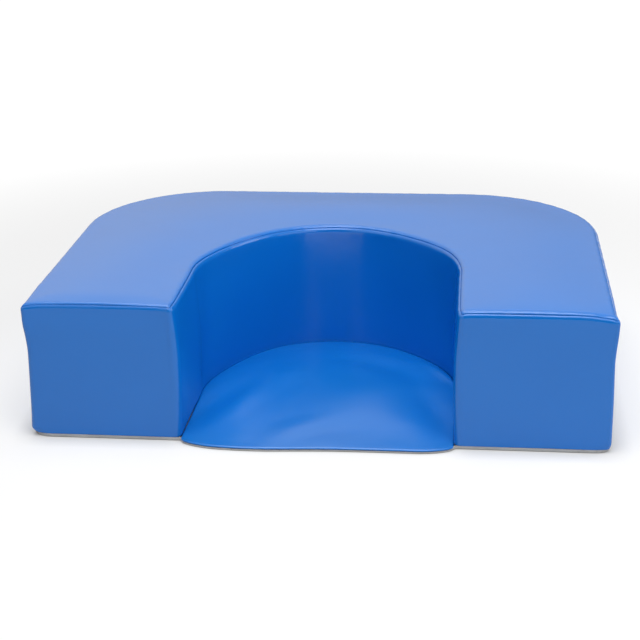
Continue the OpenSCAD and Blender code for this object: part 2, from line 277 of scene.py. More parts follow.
def straight(start: Sequence[float], end: Sequence[float], normal: Sequence[float]) -> Part:
    """Samples a straight part of a path that faces along normal."""
    t = np.linspace(0.0, 1.0, STRAIGHT_SAMPLES)[:, None]
    points = np.array(start) * (1 - t) + np.array(end) * t
    return points, np.tile(np.array(normal, float), (len(t), 1))


def turn(centre: Sequence[float], radius: float, start: float, end: float) -> Part:
    """Samples a round part of a path, from the angle start to end in degrees."""
    a = np.radians(np.linspace(start, end, TURN_SAMPLES))
    normals = np.column_stack([np.cos(a), np.sin(a)])
    return np.array(centre) + radius * normals, normals


@dataclass(frozen=True)
class Block:
    """The foam block's form, which the cover, the foam and the base share.

    Turns are in degrees, round the well's back from +X. The squarenesses and sag_power are
    exponents, ear_low and ear_rise count rolls, and the other plain numbers are shares.
    """

    # Sizes, of which the first seven come from the CAD model
    half_width: float
    front: float
    back: float
    height: float
    bulge: float
    well_half: float
    well_depth: float
    corner: float = 220 * MM
    well_straight: float = 140 * MM
    roll: float = 12 * MM
    lip: float = 5 * MM
    pad_lip: float = 2.5 * MM
    crown: float = 4 * MM
    crown_run: float = 140 * MM
    side_join: float = 40 * MM

    # The sides, which draw in, and the well's wall, which swells
    draw_in: float = 1.8 * MM
    draw_height: float = 60 * MM
    left_swell: float = 3.2 * MM
    right_swell: float = 2.2 * MM
    back_swell: float = -3.0 * MM

    # The well's two shoulders, and the lean of its back
    right_shoulder: float = 0.047
    right_shoulder_at: float = 28.0
    right_shoulder_spread: float = 19.0
    right_shoulder_start: float = 12.0
    left_shoulder: float = 0.018
    left_shoulder_at: float = 165.0
    left_shoulder_spread: float = 11.0
    left_shoulder_end: float = 8.0
    wall_lean: float = 0.5 * MM
    lean_from: float = 18.0
    lean_rise: float = 16.0
    lean_to: float = 200.0
    lean_fall: float = 45.0
    left_lean: float = 4 * MM
    left_lean_from: float = 110.0
    left_lean_rise: float = 40.0
    well_wide: float = 1.06
    well_deep: float = 1.08

    # The pad's bulge ahead of the arms
    bulge_end: float = 60 * MM
    bulge_more: float = 8 * MM
    bulge_x: float = -95 * MM
    bulge_reach: float = 85 * MM
    pad_samples: tuple[int, int] = (60, 80)

    # The upright front corners
    squareness: float = 4.0
    inner_squareness: float = 2.6
    corner_droop: float = 2.6 * MM
    droop_reach: float = 17 * MM
    tired_droop: float = 1.7
    inner_droop: float = 0.3
    ear: float = 4.2 * MM
    inner_ear: float = -0.6
    ear_reach: float = 17 * MM
    ear_ahead: float = 0.6
    inner_ear_ahead: float = 0.2
    ear_low: float = 7.0
    ear_rise: float = 6.0

    # The arm fronts' top edges, which bow, and the left side, which sags
    edge_bow: float = 1.4 * MM
    bow_reach: float = 45 * MM
    bow_low: float = 0.45
    bow_rise: float = 0.5
    right_bow: float = 0.3
    left_widening: float = 2.4 * MM
    widening_reach: float = 90 * MM
    left_sag: float = 3.8 * MM
    sag_power: float = 0.7

    # The rounded feet of the outer corners, and the wear of the top edge
    foot_round: float = 6 * MM
    foot_reach: float = 16 * MM
    foot_height: float = 15 * MM
    right_foot: float = 0.5
    right_soft: float = 0.25
    soft_reach: float = 50 * MM

    @classmethod
    def from_frame(cls) -> "Block":
        """Takes the outer sizes from the CAD model."""
        front_low, front_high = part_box("front_band")
        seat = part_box("seat_foam")[1]
        cad_crown, seat_gap = 3 * MM, 0.3 * MM
        return cls(
            half_width=front_high.x,
            front=front_low.y,
            back=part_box("outer_band")[1].y,
            height=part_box("top_panel")[1].z - cad_crown,
            bulge=front_low.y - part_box("base_panel")[0].y,
            well_half=seat.x + seat_gap,
            well_depth=seat.y + seat_gap - front_low.y,
        )

    @property
    def well_y(self) -> float:
        """Where the well's straight sides end and its round back begins."""
        return self.front + self.well_straight

    @property
    def well_axes(self) -> tuple[float, float]:
        """The half axes of the round back of the well, at the inset line."""
        return self.well_half + self.roll, self.well_depth - self.well_straight + self.roll

    def outer_rail(self, start: float) -> Rail:
        """The path round the sides and the back, from start behind each arm front."""
        x, y0 = self.half_width - self.roll, self.front + start
        cx, cy, r = self.half_width - self.corner, self.back - self.corner, self.corner - self.roll
        back = self.back - self.roll
        return Rail.joined(
            [
                straight((x, y0), (x, cy), (1, 0)),
                turn((cx, cy), r, 0, 90),
                straight((cx, back), (-cx, back), (0, 1)),
                turn((-cx, cy), r, 90, 180),
                straight((-x, cy), (-x, y0), (-1, 0)),
            ],
            self.roll,
        )

    def fullness(self, t: Array) -> Array:
        """How far the well's back reaches out at its two shoulders, where 1 is an ellipse."""
        angle = np.degrees(t)
        right = hump(angle - self.right_shoulder_at, self.right_shoulder_spread)
        right = self.right_shoulder * right * smooth(angle / self.right_shoulder_start)
        left = hump(angle - self.left_shoulder_at, self.left_shoulder_spread)
        left = self.left_shoulder * left * smooth((180 - angle) / self.left_shoulder_end)
        return 1 + right + left

    def lean(self, t: Array) -> Array:
        """How far the foot of the well's back stands out over the pad."""
        angle = np.degrees(t)
        lean = self.wall_lean + self.left_lean * smooth((angle - self.left_lean_from) / self.left_lean_rise)
        start = smooth((angle - self.lean_from) / self.lean_rise)
        return lean * start * smooth((self.lean_to - angle) / self.lean_fall)

    def well_turn(self, x: Array, y: Array) -> Array:
        """The turn from +X round the well's back, as an ellipse's parameter.

        It runs on past both ends along the straight sides, and is OFF_WELL elsewhere.
        """
        rx, ry = self.well_axes
        turn = np.arctan2(np.maximum(y - self.well_y, 0) / ry, x / rx)
        turn += np.sign(-x) * np.maximum(self.well_y - y, 0) / rx
        near = (y < self.well_y + self.well_deep * ry) & (np.abs(x) < self.well_wide * rx)
        return np.where(near, turn, OFF_WELL)

    def well_line(self, t: Array) -> Part:
        """The inset line of the well's round back and its normals, at the turn t from +X."""
        rx, ry = self.well_axes

        def place(turn: Array) -> Array:
            """The plan place at a turn."""
            full = self.fullness(turn)
            return np.column_stack([rx * np.cos(turn) * full, self.well_y + ry * np.sin(turn) * full])

        nudge = 0.001
        way = place(t + nudge) - place(t - nudge)
        return place(t), unit(np.column_stack([-way[:, 1], way[:, 0]]))

    def well_arc(self) -> Part:
        """Samples the round back of the well, from its left side to its right."""
        return self.well_line(np.radians(np.linspace(180, 0, WELL_SAMPLES)))

    def front_rail(self) -> Rail:
        """The path round both arm fronts and the well, from the left side to the right."""
        out, inn = self.half_width - self.roll, self.well_half + self.roll
        y, join = self.front + self.roll, self.front + self.side_join
        return Rail.joined(
            [
                straight((-out, join), (-out, y), (-1, 0)),
                turn((-out, y), 0, 180, 270),
                straight((-out, y), (-inn, y), (0, -1)),
                turn((-inn, y), 0, 270, 360),
                straight((-inn, y), (-inn, self.well_y), (1, 0)),
                self.well_arc(),
                straight((inn, self.well_y), (inn, y), (-1, 0)),
                turn((inn, y), 0, 180, 270),
                straight((inn, y), (out, y), (0, -1)),
                turn((out, y), 0, 270, 360),
                straight((out, y), (out, join), (1, 0)),
            ],
            self.roll,
        )

    def pad_front(self, x: Array) -> Array:
        """The line of the pad's bulging front edge at x."""
        t = np.clip((np.abs(x) - self.well_half + self.bulge_end) / self.bulge_end, 0, 1)
        more = self.bulge_more * hump(x - self.bulge_x, self.bulge_reach)
        return self.front - (self.bulge + more) * np.sqrt(np.maximum(1 - t**2, 0.0))

    def pad_edge(self) -> tuple[int, Array, Array]:
        """Samples the pad's front edge from the left arm to the right.

        Returns:
            The index of the middle, the points, and their outward normals.
        """
        side = self.well_half - self.bulge_end
        end_samples, side_samples = self.pad_samples
        end = side + self.bulge_end * np.sin(np.radians(np.linspace(90, 0, end_samples)))
        half = np.concatenate([end, np.linspace(side, 0, side_samples)[1:]])
        x = np.concatenate([-half, half[::-1][1:]])
        line = np.column_stack([x, self.pad_front(x)])
        way = unit(np.gradient(line, axis=0))
        return len(half) - 1, line, np.column_stack([way[:, 1], -way[:, 0]])

    def foot_rail(self) -> Rail:
        """The closed path round the whole footprint, from the middle of the pad's bulge."""
        out, y = self.half_width - self.roll, self.front + self.roll
        middle, line, normals = self.pad_edge()
        right = (line[middle:] - self.roll * normals[middle:], normals[middle:])
        left = (line[: middle + 1] - self.roll * normals[: middle + 1], normals[: middle + 1])
        around = self.outer_rail(self.roll)
        return Rail.joined(
            [
                right,
                straight((self.well_half, y), (out, y), (0, -1)),
                turn((out, y), 0, 270, 360),
                (around.points, around.normals),
                turn((-out, y), 0, 180, 270),
                straight((-out, y), (-self.well_half, y), (0, -1)),
                left,
            ],
            self.roll,
        )

    def waist(self, plan: Array, out: Array, z: Array) -> Array:
        """How far the sides draw in at the height z, or swell into the well where below zero."""
        t = np.clip((self.height - z) / (self.height - self.draw_height), 0.0, 1.0)
        turn = self.well_turn(*plan.T)
        side = np.where(plan[:, 0] < 0, self.left_swell, self.right_swell)
        swell = side + (self.back_swell - side) * np.clip(np.sin(turn), 0, 1)
        turned = np.where(plan[:, 1] < self.front + self.roll + HAIR, np.abs(out[:, 0]), 1.0)
        share = np.where(turn > OFF_WELL, turned, 0.0)
        barrel = np.sin(math.pi * np.clip(z / self.height, 0, 1))
        # t (1 - t)**2 peaks at 4/27
        return self.draw_in * (1 - share) * 27 / 4 * t * (1 - t) ** 2 - swell * share * barrel

    def squared(self, directions: Array, at_corner: Array, x: Array) -> Array:
        """How far the upright front corners reach past a round one, by the plan direction."""
        outer = np.abs(x) > (self.half_width + self.well_half) / 2
        p = np.where(outer, self.squareness, self.inner_squareness)
        total = (np.abs(directions) ** p[:, None]).sum(axis=1)
        reach = total / (directions**2).sum(axis=1) ** (p / 2)
        return np.where(at_corner, reach ** (-1 / p), 1.0)

    def corner_distance(self, x: Array, y: Array) -> Array:
        """The distance in plan from the nearest upright front corner."""
        side = np.minimum(np.abs(np.abs(x) - self.half_width), np.abs(np.abs(x) - self.well_half))
        return np.hypot(side, y - self.front)

    def softness(self, points: Array) -> Array:
        """How worn and round the top edge is: most on the left arm's front, some on the right's."""
        share = np.where(points[:, 0] < 0, 1.0, self.right_soft)
        arm = share * hump(points[:, 1] - self.front, self.soft_reach)
        return arm * smooth((np.abs(points[:, 0]) - self.well_half) / self.soft_reach + 0.5)

    def settled(self, points: Array) -> Array:
        """Moves places as wear has: edges bow, corners droop, the left side sags, the feet round off.

        It takes a place alone, so panels that meet at a seam still meet.
        """
        x, y, z = points.T
        high = smooth((z - self.bow_low * self.height) / (self.bow_rise * self.height))
        middle = (self.half_width + self.well_half) / 2
        across = (np.abs(x) - middle) / ((self.half_width - self.well_half) / 2)
        bow = self.edge_bow * np.clip(1 - across**2, 0, 1) * np.where(x < 0, 1.0, self.right_bow)
        tired = np.where(x > middle, self.tired_droop, 1.0)
        share = np.where(np.abs(x) > middle, tired, self.inner_droop)
        droop = self.corner_droop * share * hump(self.corner_distance(x, y), self.droop_reach * tired)
        moved = points.copy()
        moved[:, 2] += high * (bow * hump(y - self.front, self.bow_reach) - droop)
        ear = self.ear * hump(self.corner_distance(x, y), self.ear_reach)
        ear *= smooth((z - self.height + self.ear_low * self.roll) / (self.ear_rise * self.roll))
        outer = np.abs(x) > middle
        moved[:, 0] += ear * np.sign(x) * np.where(outer, 1.0, -self.inner_ear)
        moved[:, 1] -= ear * np.where(outer, self.ear_ahead, self.inner_ear_ahead)
        sag = self.left_sag * np.sin(math.pi * np.clip(z / self.height, 0, 1)) ** self.sag_power
        widening = np.where((x < 0) & outer, self.left_widening - sag, 0)
        moved[:, 0] -= widening * hump(y - self.front, self.widening_reach)
        share = np.where(x < 0, 1.0, self.right_foot)
        trodden = self.foot_round * share * (1 - smooth(z / self.foot_height))
        trodden *= hump(np.hypot(np.abs(x) - self.half_width, y - self.front), self.foot_reach)
        moved[:, 0] -= trodden * np.sign(x)
        moved[:, 1] += trodden
        return moved


# Flat patterns


@dataclass
class Pattern:
    """A flat panel: a graded grid in metres, which may get an opening before it is laid."""

    across: Array
    along: Array
    mesh: bmesh.types.BMesh = field(init=False)

    def __post_init__(self) -> None:
        """Makes the grid and moves its rows and columns to their graded places."""
        cols, rows = len(self.across) - 1, len(self.along) - 1
        self.mesh = bmesh.new()
        bmesh.ops.create_grid(self.mesh, x_segments=cols, y_segments=rows, size=0.5)
        for vert in self.mesh.verts:
            i, j = round((vert.co.x + 0.5) * cols), round((vert.co.y + 0.5) * rows)
            vert.co = (self.across[i], self.along[j], 0.0)

    def cut_window(self, centre: Vector, half: Vector, lip: float, radius: float) -> None:
        """Cuts a rectangular opening and turns its edge inwards.

        Args:
            centre: The opening's middle on the flat pattern.
            half: Half its width and height.
            lip: How deep the turned edge goes.
            radius: The radius at which it turns.
        """
        bm = self.mesh
        for axis in (0, 1):
            for side in (-1, 1):
                cut = centre.copy()
                cut[axis] += side * half[axis]
                normal = Vector((1 - axis, axis, 0))
                geom = [*bm.verts, *bm.edges, *bm.faces]
                bmesh.ops.bisect_plane(bm, geom=geom, dist=1e-7, plane_co=cut, plane_no=normal)

        def inside(co: Vector, margin: float) -> bool:
            """Whether a flat place lies in the opening, grown by margin."""
            return all(abs(co[axis] - centre[axis]) < half[axis] + margin for axis in (0, 1))

        gone = [f for f in bm.faces if inside(f.calc_center_median(), 0.0)]
        bmesh.ops.delete(bm, geom=gone, context="FACES")
        rim = [e for e in bm.edges if e.is_boundary and all(inside(v.co, SLACK) for v in e.verts)]
        bends = [math.radians(a) for a in (30, 60, 90)]
        steps = [(radius * math.sin(a), radius * (1 - math.cos(a))) for a in bends]
        for inset, depth in [*steps, (radius, lip)]:
            made = bmesh.ops.extrude_edge_only(bm, edges=rim)["geom"]
            rim = [g for g in made if isinstance(g, bmesh.types.BMEdge)]
            rim = [e for e in rim if e.is_boundary]
            for vert in {v for e in rim for v in e.verts}:
                for axis in (0, 1):
                    off = vert.co[axis] - centre[axis]
                    if abs(off) > half[axis] - radius - SLACK:
                        vert.co[axis] = centre[axis] + math.copysign(half[axis] - inset, off)
                vert.co.z = -depth

    def lay(self, name: str, place: Placer, stuffing: "Stuffing | None" = None) -> bpy.types.Object:
        """Lays the flat panel.

        Args:
            name: The piece's name.
            place: Gives the points and unit normals for flat places.
            stuffing: How the foam presses the panel out between its seams.

        Returns:
            The piece, with its flat places as a UV map in metres.
        """
        bm = self.mesh
        flat = np.array([v.co for v in bm.verts])
        points, normals = place(flat[:, 0], flat[:, 1])
        if stuffing:
            out = stuffing.swell(self.across, self.along, place, flat)
            points = points + normals * out[:, None]
        layer = bm.loops.layers.uv.new("Pattern")
        for face in bm.faces:
            face.smooth = True
            for loop in face.loops:
                loop[layer].uv = loop.vert.co.xy
        for vert, point in zip(bm.verts, points + normals * flat[:, 2:3]):
            vert.co = point
        return as_piece(bm, name)


@dataclass(frozen=True)
class Stuffing:
    """A cloth simulation of a coarse copy of a panel, which the foam presses out.

    The slack is a share of the panel's size, and the cap is the farthest that the panel moves.
    """

    pressure: float
    slack: float
    cap: float
    cell: float = 9 * MM
    frames: int = 20
    stiffness: float = 15.0
    bending: float = 0.8
    steps: int = 6
    calming: int = 3

    def simulate(self, sheet: bpy.types.Object, held: Sequence[int]) -> Array:
        """Runs the cloth with its border held.

        Args:
            sheet: The coarse copy.
            held: The vertices that stay in place.

        Returns:
            The vertices' places at the end.
        """
        group = sheet.vertex_groups.new(name="Held")
        group.add(list(held), 1.0, "REPLACE")
        cloth = sheet.modifiers.new("Cloth", "CLOTH")
        cloth.settings.quality = self.steps
        cloth.settings.vertex_group_mass = group.name
        cloth.settings.tension_stiffness = self.stiffness
        cloth.settings.compression_stiffness = self.stiffness
        cloth.settings.bending_stiffness = self.bending
        cloth.settings.use_pressure = True
        cloth.settings.uniform_pressure_force = self.pressure
        cloth.settings.shrink_min = -self.slack
        cloth.settings.effector_weights.gravity = 0.0
        cloth.collision_settings.use_collision = False
        cloth.point_cache.frame_start, cloth.point_cache.frame_end = 1, self.frames
        for number in range(1, self.frames + 1):
            bpy.context.scene.frame_set(number)
        ready = sheet.evaluated_get(bpy.context.evaluated_depsgraph_get())
        places = np.array([v.co for v in ready.data.vertices])
        bpy.context.scene.frame_set(1)
        return places

    def swell(self, across: Array, along: Array, place: Placer, flat: Array) -> Array:
        """Simulates a panel and reads how far it moves out at its own flat places.

        Args:
            across: The panel's graded places across it.
            along: The panel's graded places along it.
            place: Gives the points and unit normals for flat places.
            flat: The flat places that are asked for.

        Returns:
            The lengths outwards, never past the cap.
        """
        sides = [
            np.linspace(side[0], side[-1], round((side[-1] - side[0]) / self.cell))
            for side in (across, along)
        ]
        coarse = Pattern(*sides)
        places = np.array([v.co for v in coarse.mesh.verts])
        start, normals = place(places[:, 0], places[:, 1])
        cols, rows = (np.rint(spots).astype(int) for spots in spots_on(sides, places))
        edge = (cols == 0) | (rows == 0) | (cols == len(sides[0]) - 1) | (rows == len(sides[1]) - 1)
        for vert, point in zip(coarse.mesh.verts, start):
            vert.co = point
        sheet = as_piece(coarse.mesh, "simulated")
        moved = ((self.simulate(sheet, np.nonzero(edge)[0].tolist()) - start) * normals).sum(axis=1)
        bpy.data.objects.remove(sheet)
        low, high = moved.min() / MM, moved.max() / MM
        LOG.info("cloth: %d vertices, moved %.1f to %.1f mm", len(start), low, high)
        heights = np.zeros((len(sides[0]), len(sides[1])))
        heights[cols, rows] = moved
        for _ in range(self.calming):
            heights[1:-1] = (heights[:-2] + 2 * heights[1:-1] + heights[2:]) / 4
            heights[:, 1:-1] = (heights[:, :-2] + 2 * heights[:, 1:-1] + heights[:, 2:]) / 4
        heights *= min(1.0, self.cap / np.abs(heights).max())
        return spline(heights, spots_on(sides, flat))


def as_piece(bm: bmesh.types.BMesh, name: str) -> bpy.types.Object:
    """Turns a finished bmesh into an object at the origin."""
    mesh = bpy.data.meshes.new(name)
    bm.to_mesh(mesh)
    bm.free()
    piece = bpy.data.objects.new(name, mesh)
    bpy.context.scene.collection.objects.link(piece)
    return piece


def with_thickness(piece: bpy.types.Object, thickness: float) -> bpy.types.Object:
    """Gives a sheet its thickness, inwards from its outer face."""
    solid = piece.modifiers.new("Thickness", "SOLIDIFY")
    solid.thickness = thickness
    solid.offset = -1.0
    solid.use_rim = True
    return piece


def dress(
    piece: bpy.types.Object,
    finish: bpy.types.Material,
    body: Body = Body.SEAT,
    nodes: Sequence[str] = (),
) -> bpy.types.Object:
    """Gives a piece its material and its body.

    Args:
        piece: The piece.
        finish: Its material.
        body: The body that it moves with.
        nodes: The CAD nodes that it replaces.

    Returns:
        The piece.
    """
    piece.data.materials.clear()
    piece.data.materials.append(finish)
    if nodes:
        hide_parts(*nodes)
    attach(piece, body.value)
    LOG.info("%s: %d vertices", piece.name, len(piece.data.vertices))
    return piece


# The cover


@dataclass(frozen=True)
class Seam:
    """How a cover panel's edge is turned in and how the panel swells beside it."""

    radius: float = 0.8 * MM
    tuck: float = 2.2 * MM
    puff: float = 0.75 * MM
    puff_width: float = 4.5 * MM
    pull: float = 1.1 * MM
    pull_width: float = 12 * MM
    soft_pull: float = 3.4 * MM
    soft_width: float = 25 * MM
    soft_flattening: float = 0.6
    pucker: float = 0.45
    corner_gape: float = 0.5
    gape_reach: float = 14 * MM

    @property
    def allowance(self) -> float:
        """The flat length past the seam line."""
        return self.radius * (math.pi / 2 - 1) + self.tuck

    def swell(self, distance: Array, points: Array, softness: Array) -> Array:
        """How far the panel stands out, along its normal, beside its seam.

        Args:
            distance: Lengths from the seam.
            points: The places on the panel.
            softness: From 0 on a tight edge to 1 on one that is rounded by wear.

        Returns:
            The lengths outwards.
        """
        d = np.maximum(distance, 0.0)
        wave = 1.0 + self.pucker * TIGHT.at(points)
        out = self.puff * (d / self.puff_width) * np.exp(1 - d / self.puff_width) * wave
        tight, soft = self.pull * hump(d, self.pull_width), self.soft_pull * hump(d, self.soft_width)
        return out * (1 - self.soft_flattening * softness) - tight * (1 - softness) - soft * softness


@dataclass
class Cover:
    """The sewn vinyl cover of the block: its top, its front strip and its outer strip."""

    block: Block
    vinyl: bpy.types.Material
    seam: Seam = Seam()
    thickness: float = 1.0 * MM
    cell: float = 3.6 * MM
    fine: float = 0.45 * MM
    reach: float = 22 * MM
    undulation: float = 0.55 * MM
    undulation_start: float = 25 * MM
    calm_back: float = 300 * MM
    calm_low: float = 45 * MM
    calm_rise: float = 75 * MM
    ease: float = 565 * MM
    window_lip: float = 1.2 * MM
    window_radius: float = 0.6 * MM
    zip_height: float = 34 * MM
    stuffing: Stuffing = Stuffing(pressure=1.0, slack=0.0, cap=1.2 * MM)

    @property
    def roll_length(self) -> float:
        """The length of the rolled edge from the flat to the seam."""
        return self.block.roll * math.pi / 4

    def finish(self, piece: bpy.types.Object, node: str) -> bpy.types.Object:
        """Gives a panel its thickness, material and body."""
        dress(with_thickness(piece, self.thickness), self.vinyl, nodes=[node])
        return piece

    def groove(self, x: Array, y: Array) -> Array:
        """The radius of the turned edge, wider where the top's corners pull open."""
        away = self.block.corner_distance(x, y)
        return self.seam.radius * (1 + self.seam.corner_gape * hump(away, self.seam.gape_reach))

    def relief(self, points: Array, normals: Array, seam_distance: Array) -> Array:
        """Adds the swell beside the seams, and the foam's broad unevenness except round the zip."""
        out = self.seam.swell(seam_distance, points, self.block.softness(points))
        above = smooth((points[:, 2] - self.calm_low) / self.calm_rise)
        calm = np.where(points[:, 1] > self.calm_back, above, 1)
        out += self.undulation * BROAD.at(points) * smooth(seam_distance / self.undulation_start) * calm
        return self.block.settled(points + normals * out[:, None])

    def top_rays(self, q: Array, left: Array) -> tuple[Array, Array, Array, Array]:
        """The inset outline on both sides of the top, at the stations q of one half.

        Args:
            q: Lengths from the rolled front edge, along the right half of the U.
            left: Which stations lie on the left half, which is laid mirrored.

        Returns:
            The outer points and normals, then the inner points and normals.
        """
        b = self.block
        y = b.front + b.roll + np.clip(q - self.roll_length, 0, b.well_straight - b.roll)
        a = np.clip((q - self.roll_length - b.well_straight + b.roll) / self.ease, 0, 1) * math.pi / 2
        cos, sin = np.maximum(np.cos(a), TINY), np.maximum(np.sin(a), TINY)
        cx, cy, r = b.half_width - b.corner, b.back - b.corner - b.well_y, b.corner - b.roll
        along = cx * cos + cy * sin
        arc = along + np.sqrt(np.maximum(along**2 - cx**2 - cy**2 + r**2, 0))
        to_side, to_back = (b.half_width - b.roll) / cos, (b.back - b.roll - b.well_y) / sin
        on_side, on_back = to_side * sin <= cy, to_back * cos <= cx
        t = np.where(on_side, to_side, np.where(on_back, to_back, arc))
        outer = np.column_stack([t * cos, b.well_y + t * sin])
        outer_n = np.column_stack([outer[:, 0] - cx, outer[:, 1] - cy - b.well_y]) / r
        outer_n = np.where(on_side[:, None], [1.0, 0.0], np.where(on_back[:, None], [0.0, 1.0], outer_n))
        rx, ry = b.well_axes
        t = np.arctan2(np.sin(a) / ry, np.cos(a) / rx)
        inner, inner_n = b.well_line(np.where(left, math.pi - t, t))
        inner[:, 0] *= np.where(left, -1, 1)
        inner_n[:, 0] *= np.where(left, -1, 1)
        ahead = y < b.well_y
        outer[:, 1] = np.where(ahead, y, outer[:, 1])
        inner[:, 1] = np.where(ahead, y, inner[:, 1])
        return outer, unit(outer_n), inner, inner_n

    def place_top(self, q: Array, c: Array) -> tuple[Array, Array]:
        """Lays the top's flat places, q along the U and c across it, on the block."""
        b, rho, width = self.block, self.roll_length, self.top_width
        left = q > self.top_length / 2
        half = np.where(left, self.top_length - q, q)
        edge_x = np.where(c < width / 2, b.half_width, b.well_half)
        inwards = np.minimum(np.maximum(c, 0), np.maximum(width - c, 0))
        edge_x = edge_x + np.where(c < width / 2, -inwards, inwards)
        radius = self.groove(edge_x, b.front + np.maximum(half, 0))
        half, depth_q = turned_in(half, 0.0, OPEN_END, radius)
        c, depth_c = turned_in(c, 0.0, width, radius)
        outer, outer_n, inner, inner_n = self.top_rays(half, left)
        k = np.clip((c - rho) / (width - 2 * rho), 0, 1)
        plan = outer * (1 - k[:, None]) + inner * k[:, None]
        quarter = math.pi / 4
        tilt_out = np.tan(quarter * np.clip(1 - c / rho, 0, 1))
        tilt_in = np.tan(quarter * np.clip(1 - (width - c) / rho, 0, 1))
        tilt_front = np.tan(quarter * np.clip(1 - half / rho, 0, 1))
        lean = outer_n * tilt_out[:, None] + inner_n * tilt_in[:, None]
        lean[:, 1] -= tilt_front
        normals = unit(np.column_stack([lean, np.ones(len(lean))]))
        points = np.column_stack([plan, np.full(len(plan), b.height - b.roll)]) + b.roll * normals
        reach = b.squared(lean + [0, -TINY], tilt_front > 0, plan[:, 0])
        points[:, :2] = plan + b.roll * normals[:, :2] * reach[:, None]
        run = 1 - (1 - np.clip((plan[:, 1] - b.front) / b.crown_run, 0, 1)) ** 2
        points[:, 2] += b.crown * (1 - (2 * k - 1) ** 2) ** 2 * run
        distance = np.minimum(np.minimum(c, width - c), half)
        points = points - normals * np.maximum(depth_q, depth_c)[:, None]
        points[left, 0] *= -1
        normals[left, 0] *= -1
        return self.relief(points, normals, distance), normals

    @property
    def top_length(self) -> float:
        """The flat length of the top along the U."""
        return 2 * (self.roll_length + self.block.well_straight - self.block.roll + self.ease)

    @property
    def top_width(self) -> float:
        """The flat width of the top across an arm."""
        return self.block.half_width - self.block.well_half - 2 * (self.block.roll - self.roll_length)

    @property
    def strip_height(self) -> float:
        """The flat height of the strips, from the base seam to the top seam."""
        return self.block.height - self.block.roll - self.block.lip + self.roll_length

    def place_strip(self, rail: Rail, a: Array, h: Array) -> tuple[Array, Array]:
        """Lays a strip's flat places, a along its path and h up it, on the block.

        Args:
            rail: The path that the strip follows.
            a: Lengths along the path.
            h: Heights up the strip.

        Returns:
            The points and the unit normals.
        """
        b = self.block
        a, depth_a = turned_in(a, 0.0, rail.length, self.seam.radius)
        plan, out = rail.at(a)
        face = plan + out * b.roll
        h, depth_h = turned_in(h, 0.0, self.strip_height, self.groove(face[:, 0], face[:, 1]))
        high = self.strip_height - self.roll_length
        at_corner = plan[:, 1] < b.front + b.roll + HAIR
        square = b.squared(out, at_corner, plan[:, 0])
        bend = np.where(at_corner, np.arctan(np.abs(out).max(axis=1)), math.pi / 4)
        over = np.clip((h - high) / self.roll_length, 0, 1) * bend
        z = b.lip + np.clip(h, 0, high) + b.roll * np.sin(over)
        lean = b.lean(b.well_turn(*plan.T)) * (1 - z / b.height)
        reach = b.roll * np.cos(over) - b.waist(plan, out, z) + lean
        normals = np.column_stack([out * np.cos(over)[:, None], np.sin(over)])
        points = np.column_stack([plan + out * (reach * square)[:, None], z])
        distance = np.minimum(self.strip_height - h, np.minimum(a, rail.length - a))
        points = points - normals * np.maximum(depth_a, depth_h)[:, None]
        return self.relief(points, normals, distance), normals

    def grid(self, length: float, width: float) -> Pattern:
        """A flat panel of a length and width between its seams, with its allowances."""
        extra = self.seam.allowance
        spacing = (self.fine, self.cell, self.reach)
        return Pattern(graded(-extra, length + extra, *spacing), graded(-extra, width + extra, *spacing))

    def make_strip(self, name: str, node: str, rail: Rail, window: bool) -> None:
        """Builds one of the two strips.

        Args:
            name: The piece's name.
            node: The CAD node that it replaces.
            rail: The path that it follows.
            window: Whether it has the opening over the zip.
        """
        pattern = self.grid(rail.length, self.strip_height)
        if window:
            level = self.zip_height - self.block.lip
            pattern.cut_window(
                Vector((rail.length / 2, level, 0)),
                Vector((OPENING_HALF, OPENING_HEIGHT / 2, 0)),
                lip=self.window_lip,
                radius=self.window_radius,
            )
        self.finish(pattern.lay(name, lambda a, h: self.place_strip(rail, a, h), self.stuffing), node)

    def make(self) -> None:
        """Builds the three panels."""
        top = self.grid(self.top_length, self.top_width).lay("cover_top", self.place_top, self.stuffing)
        self.finish(top, "top_panel")
        self.make_strip("cover_front", "front_band", self.block.front_rail(), window=False)
        outer = self.block.outer_rail(self.block.side_join)
        self.make_strip("cover_outer", "outer_band", outer, window=True)


# The seat pad


@dataclass(frozen=True)
class Fold:
    """A long soft fold or dent in the seat panel, in millimetres and degrees."""

    x: float
    y: float
    heading: float
    length: float
    width: float
    rise: float

    def height(self, x: Array, y: Array) -> Array:
        """Its height at each place."""
        turn = math.radians(self.heading)
        dx, dy = x - self.x * MM, y - self.y * MM
        along = (dx * math.cos(turn) + dy * math.sin(turn)) / (self.length * MM)
        across = (dy * math.cos(turn) - dx * math.sin(turn)) / (self.width * MM)
        return self.rise * MM * np.exp(-(along**2) - across**2)


FOLDS = (
    Fold(-128, -175, 65, 105, 24, 3.8),
    Fold(-168, -160, 66, 95, 26, -4.2),
    Fold(80, -130, 60, 80, 58, 5.0),
    Fold(60, -5, -25, 60, 24, -3.0),
    Fold(120, -50, -42, 60, 26, -2.6),
    Fold(165, -165, -72, 95, 24, -4.0),
    Fold(178, -40, -58, 46, 9, 4.6),
    Fold(-30, -255, 35, 45, 24, 1.6),
    Fold(-70, -60, 15, 60, 36, 2.0),
)


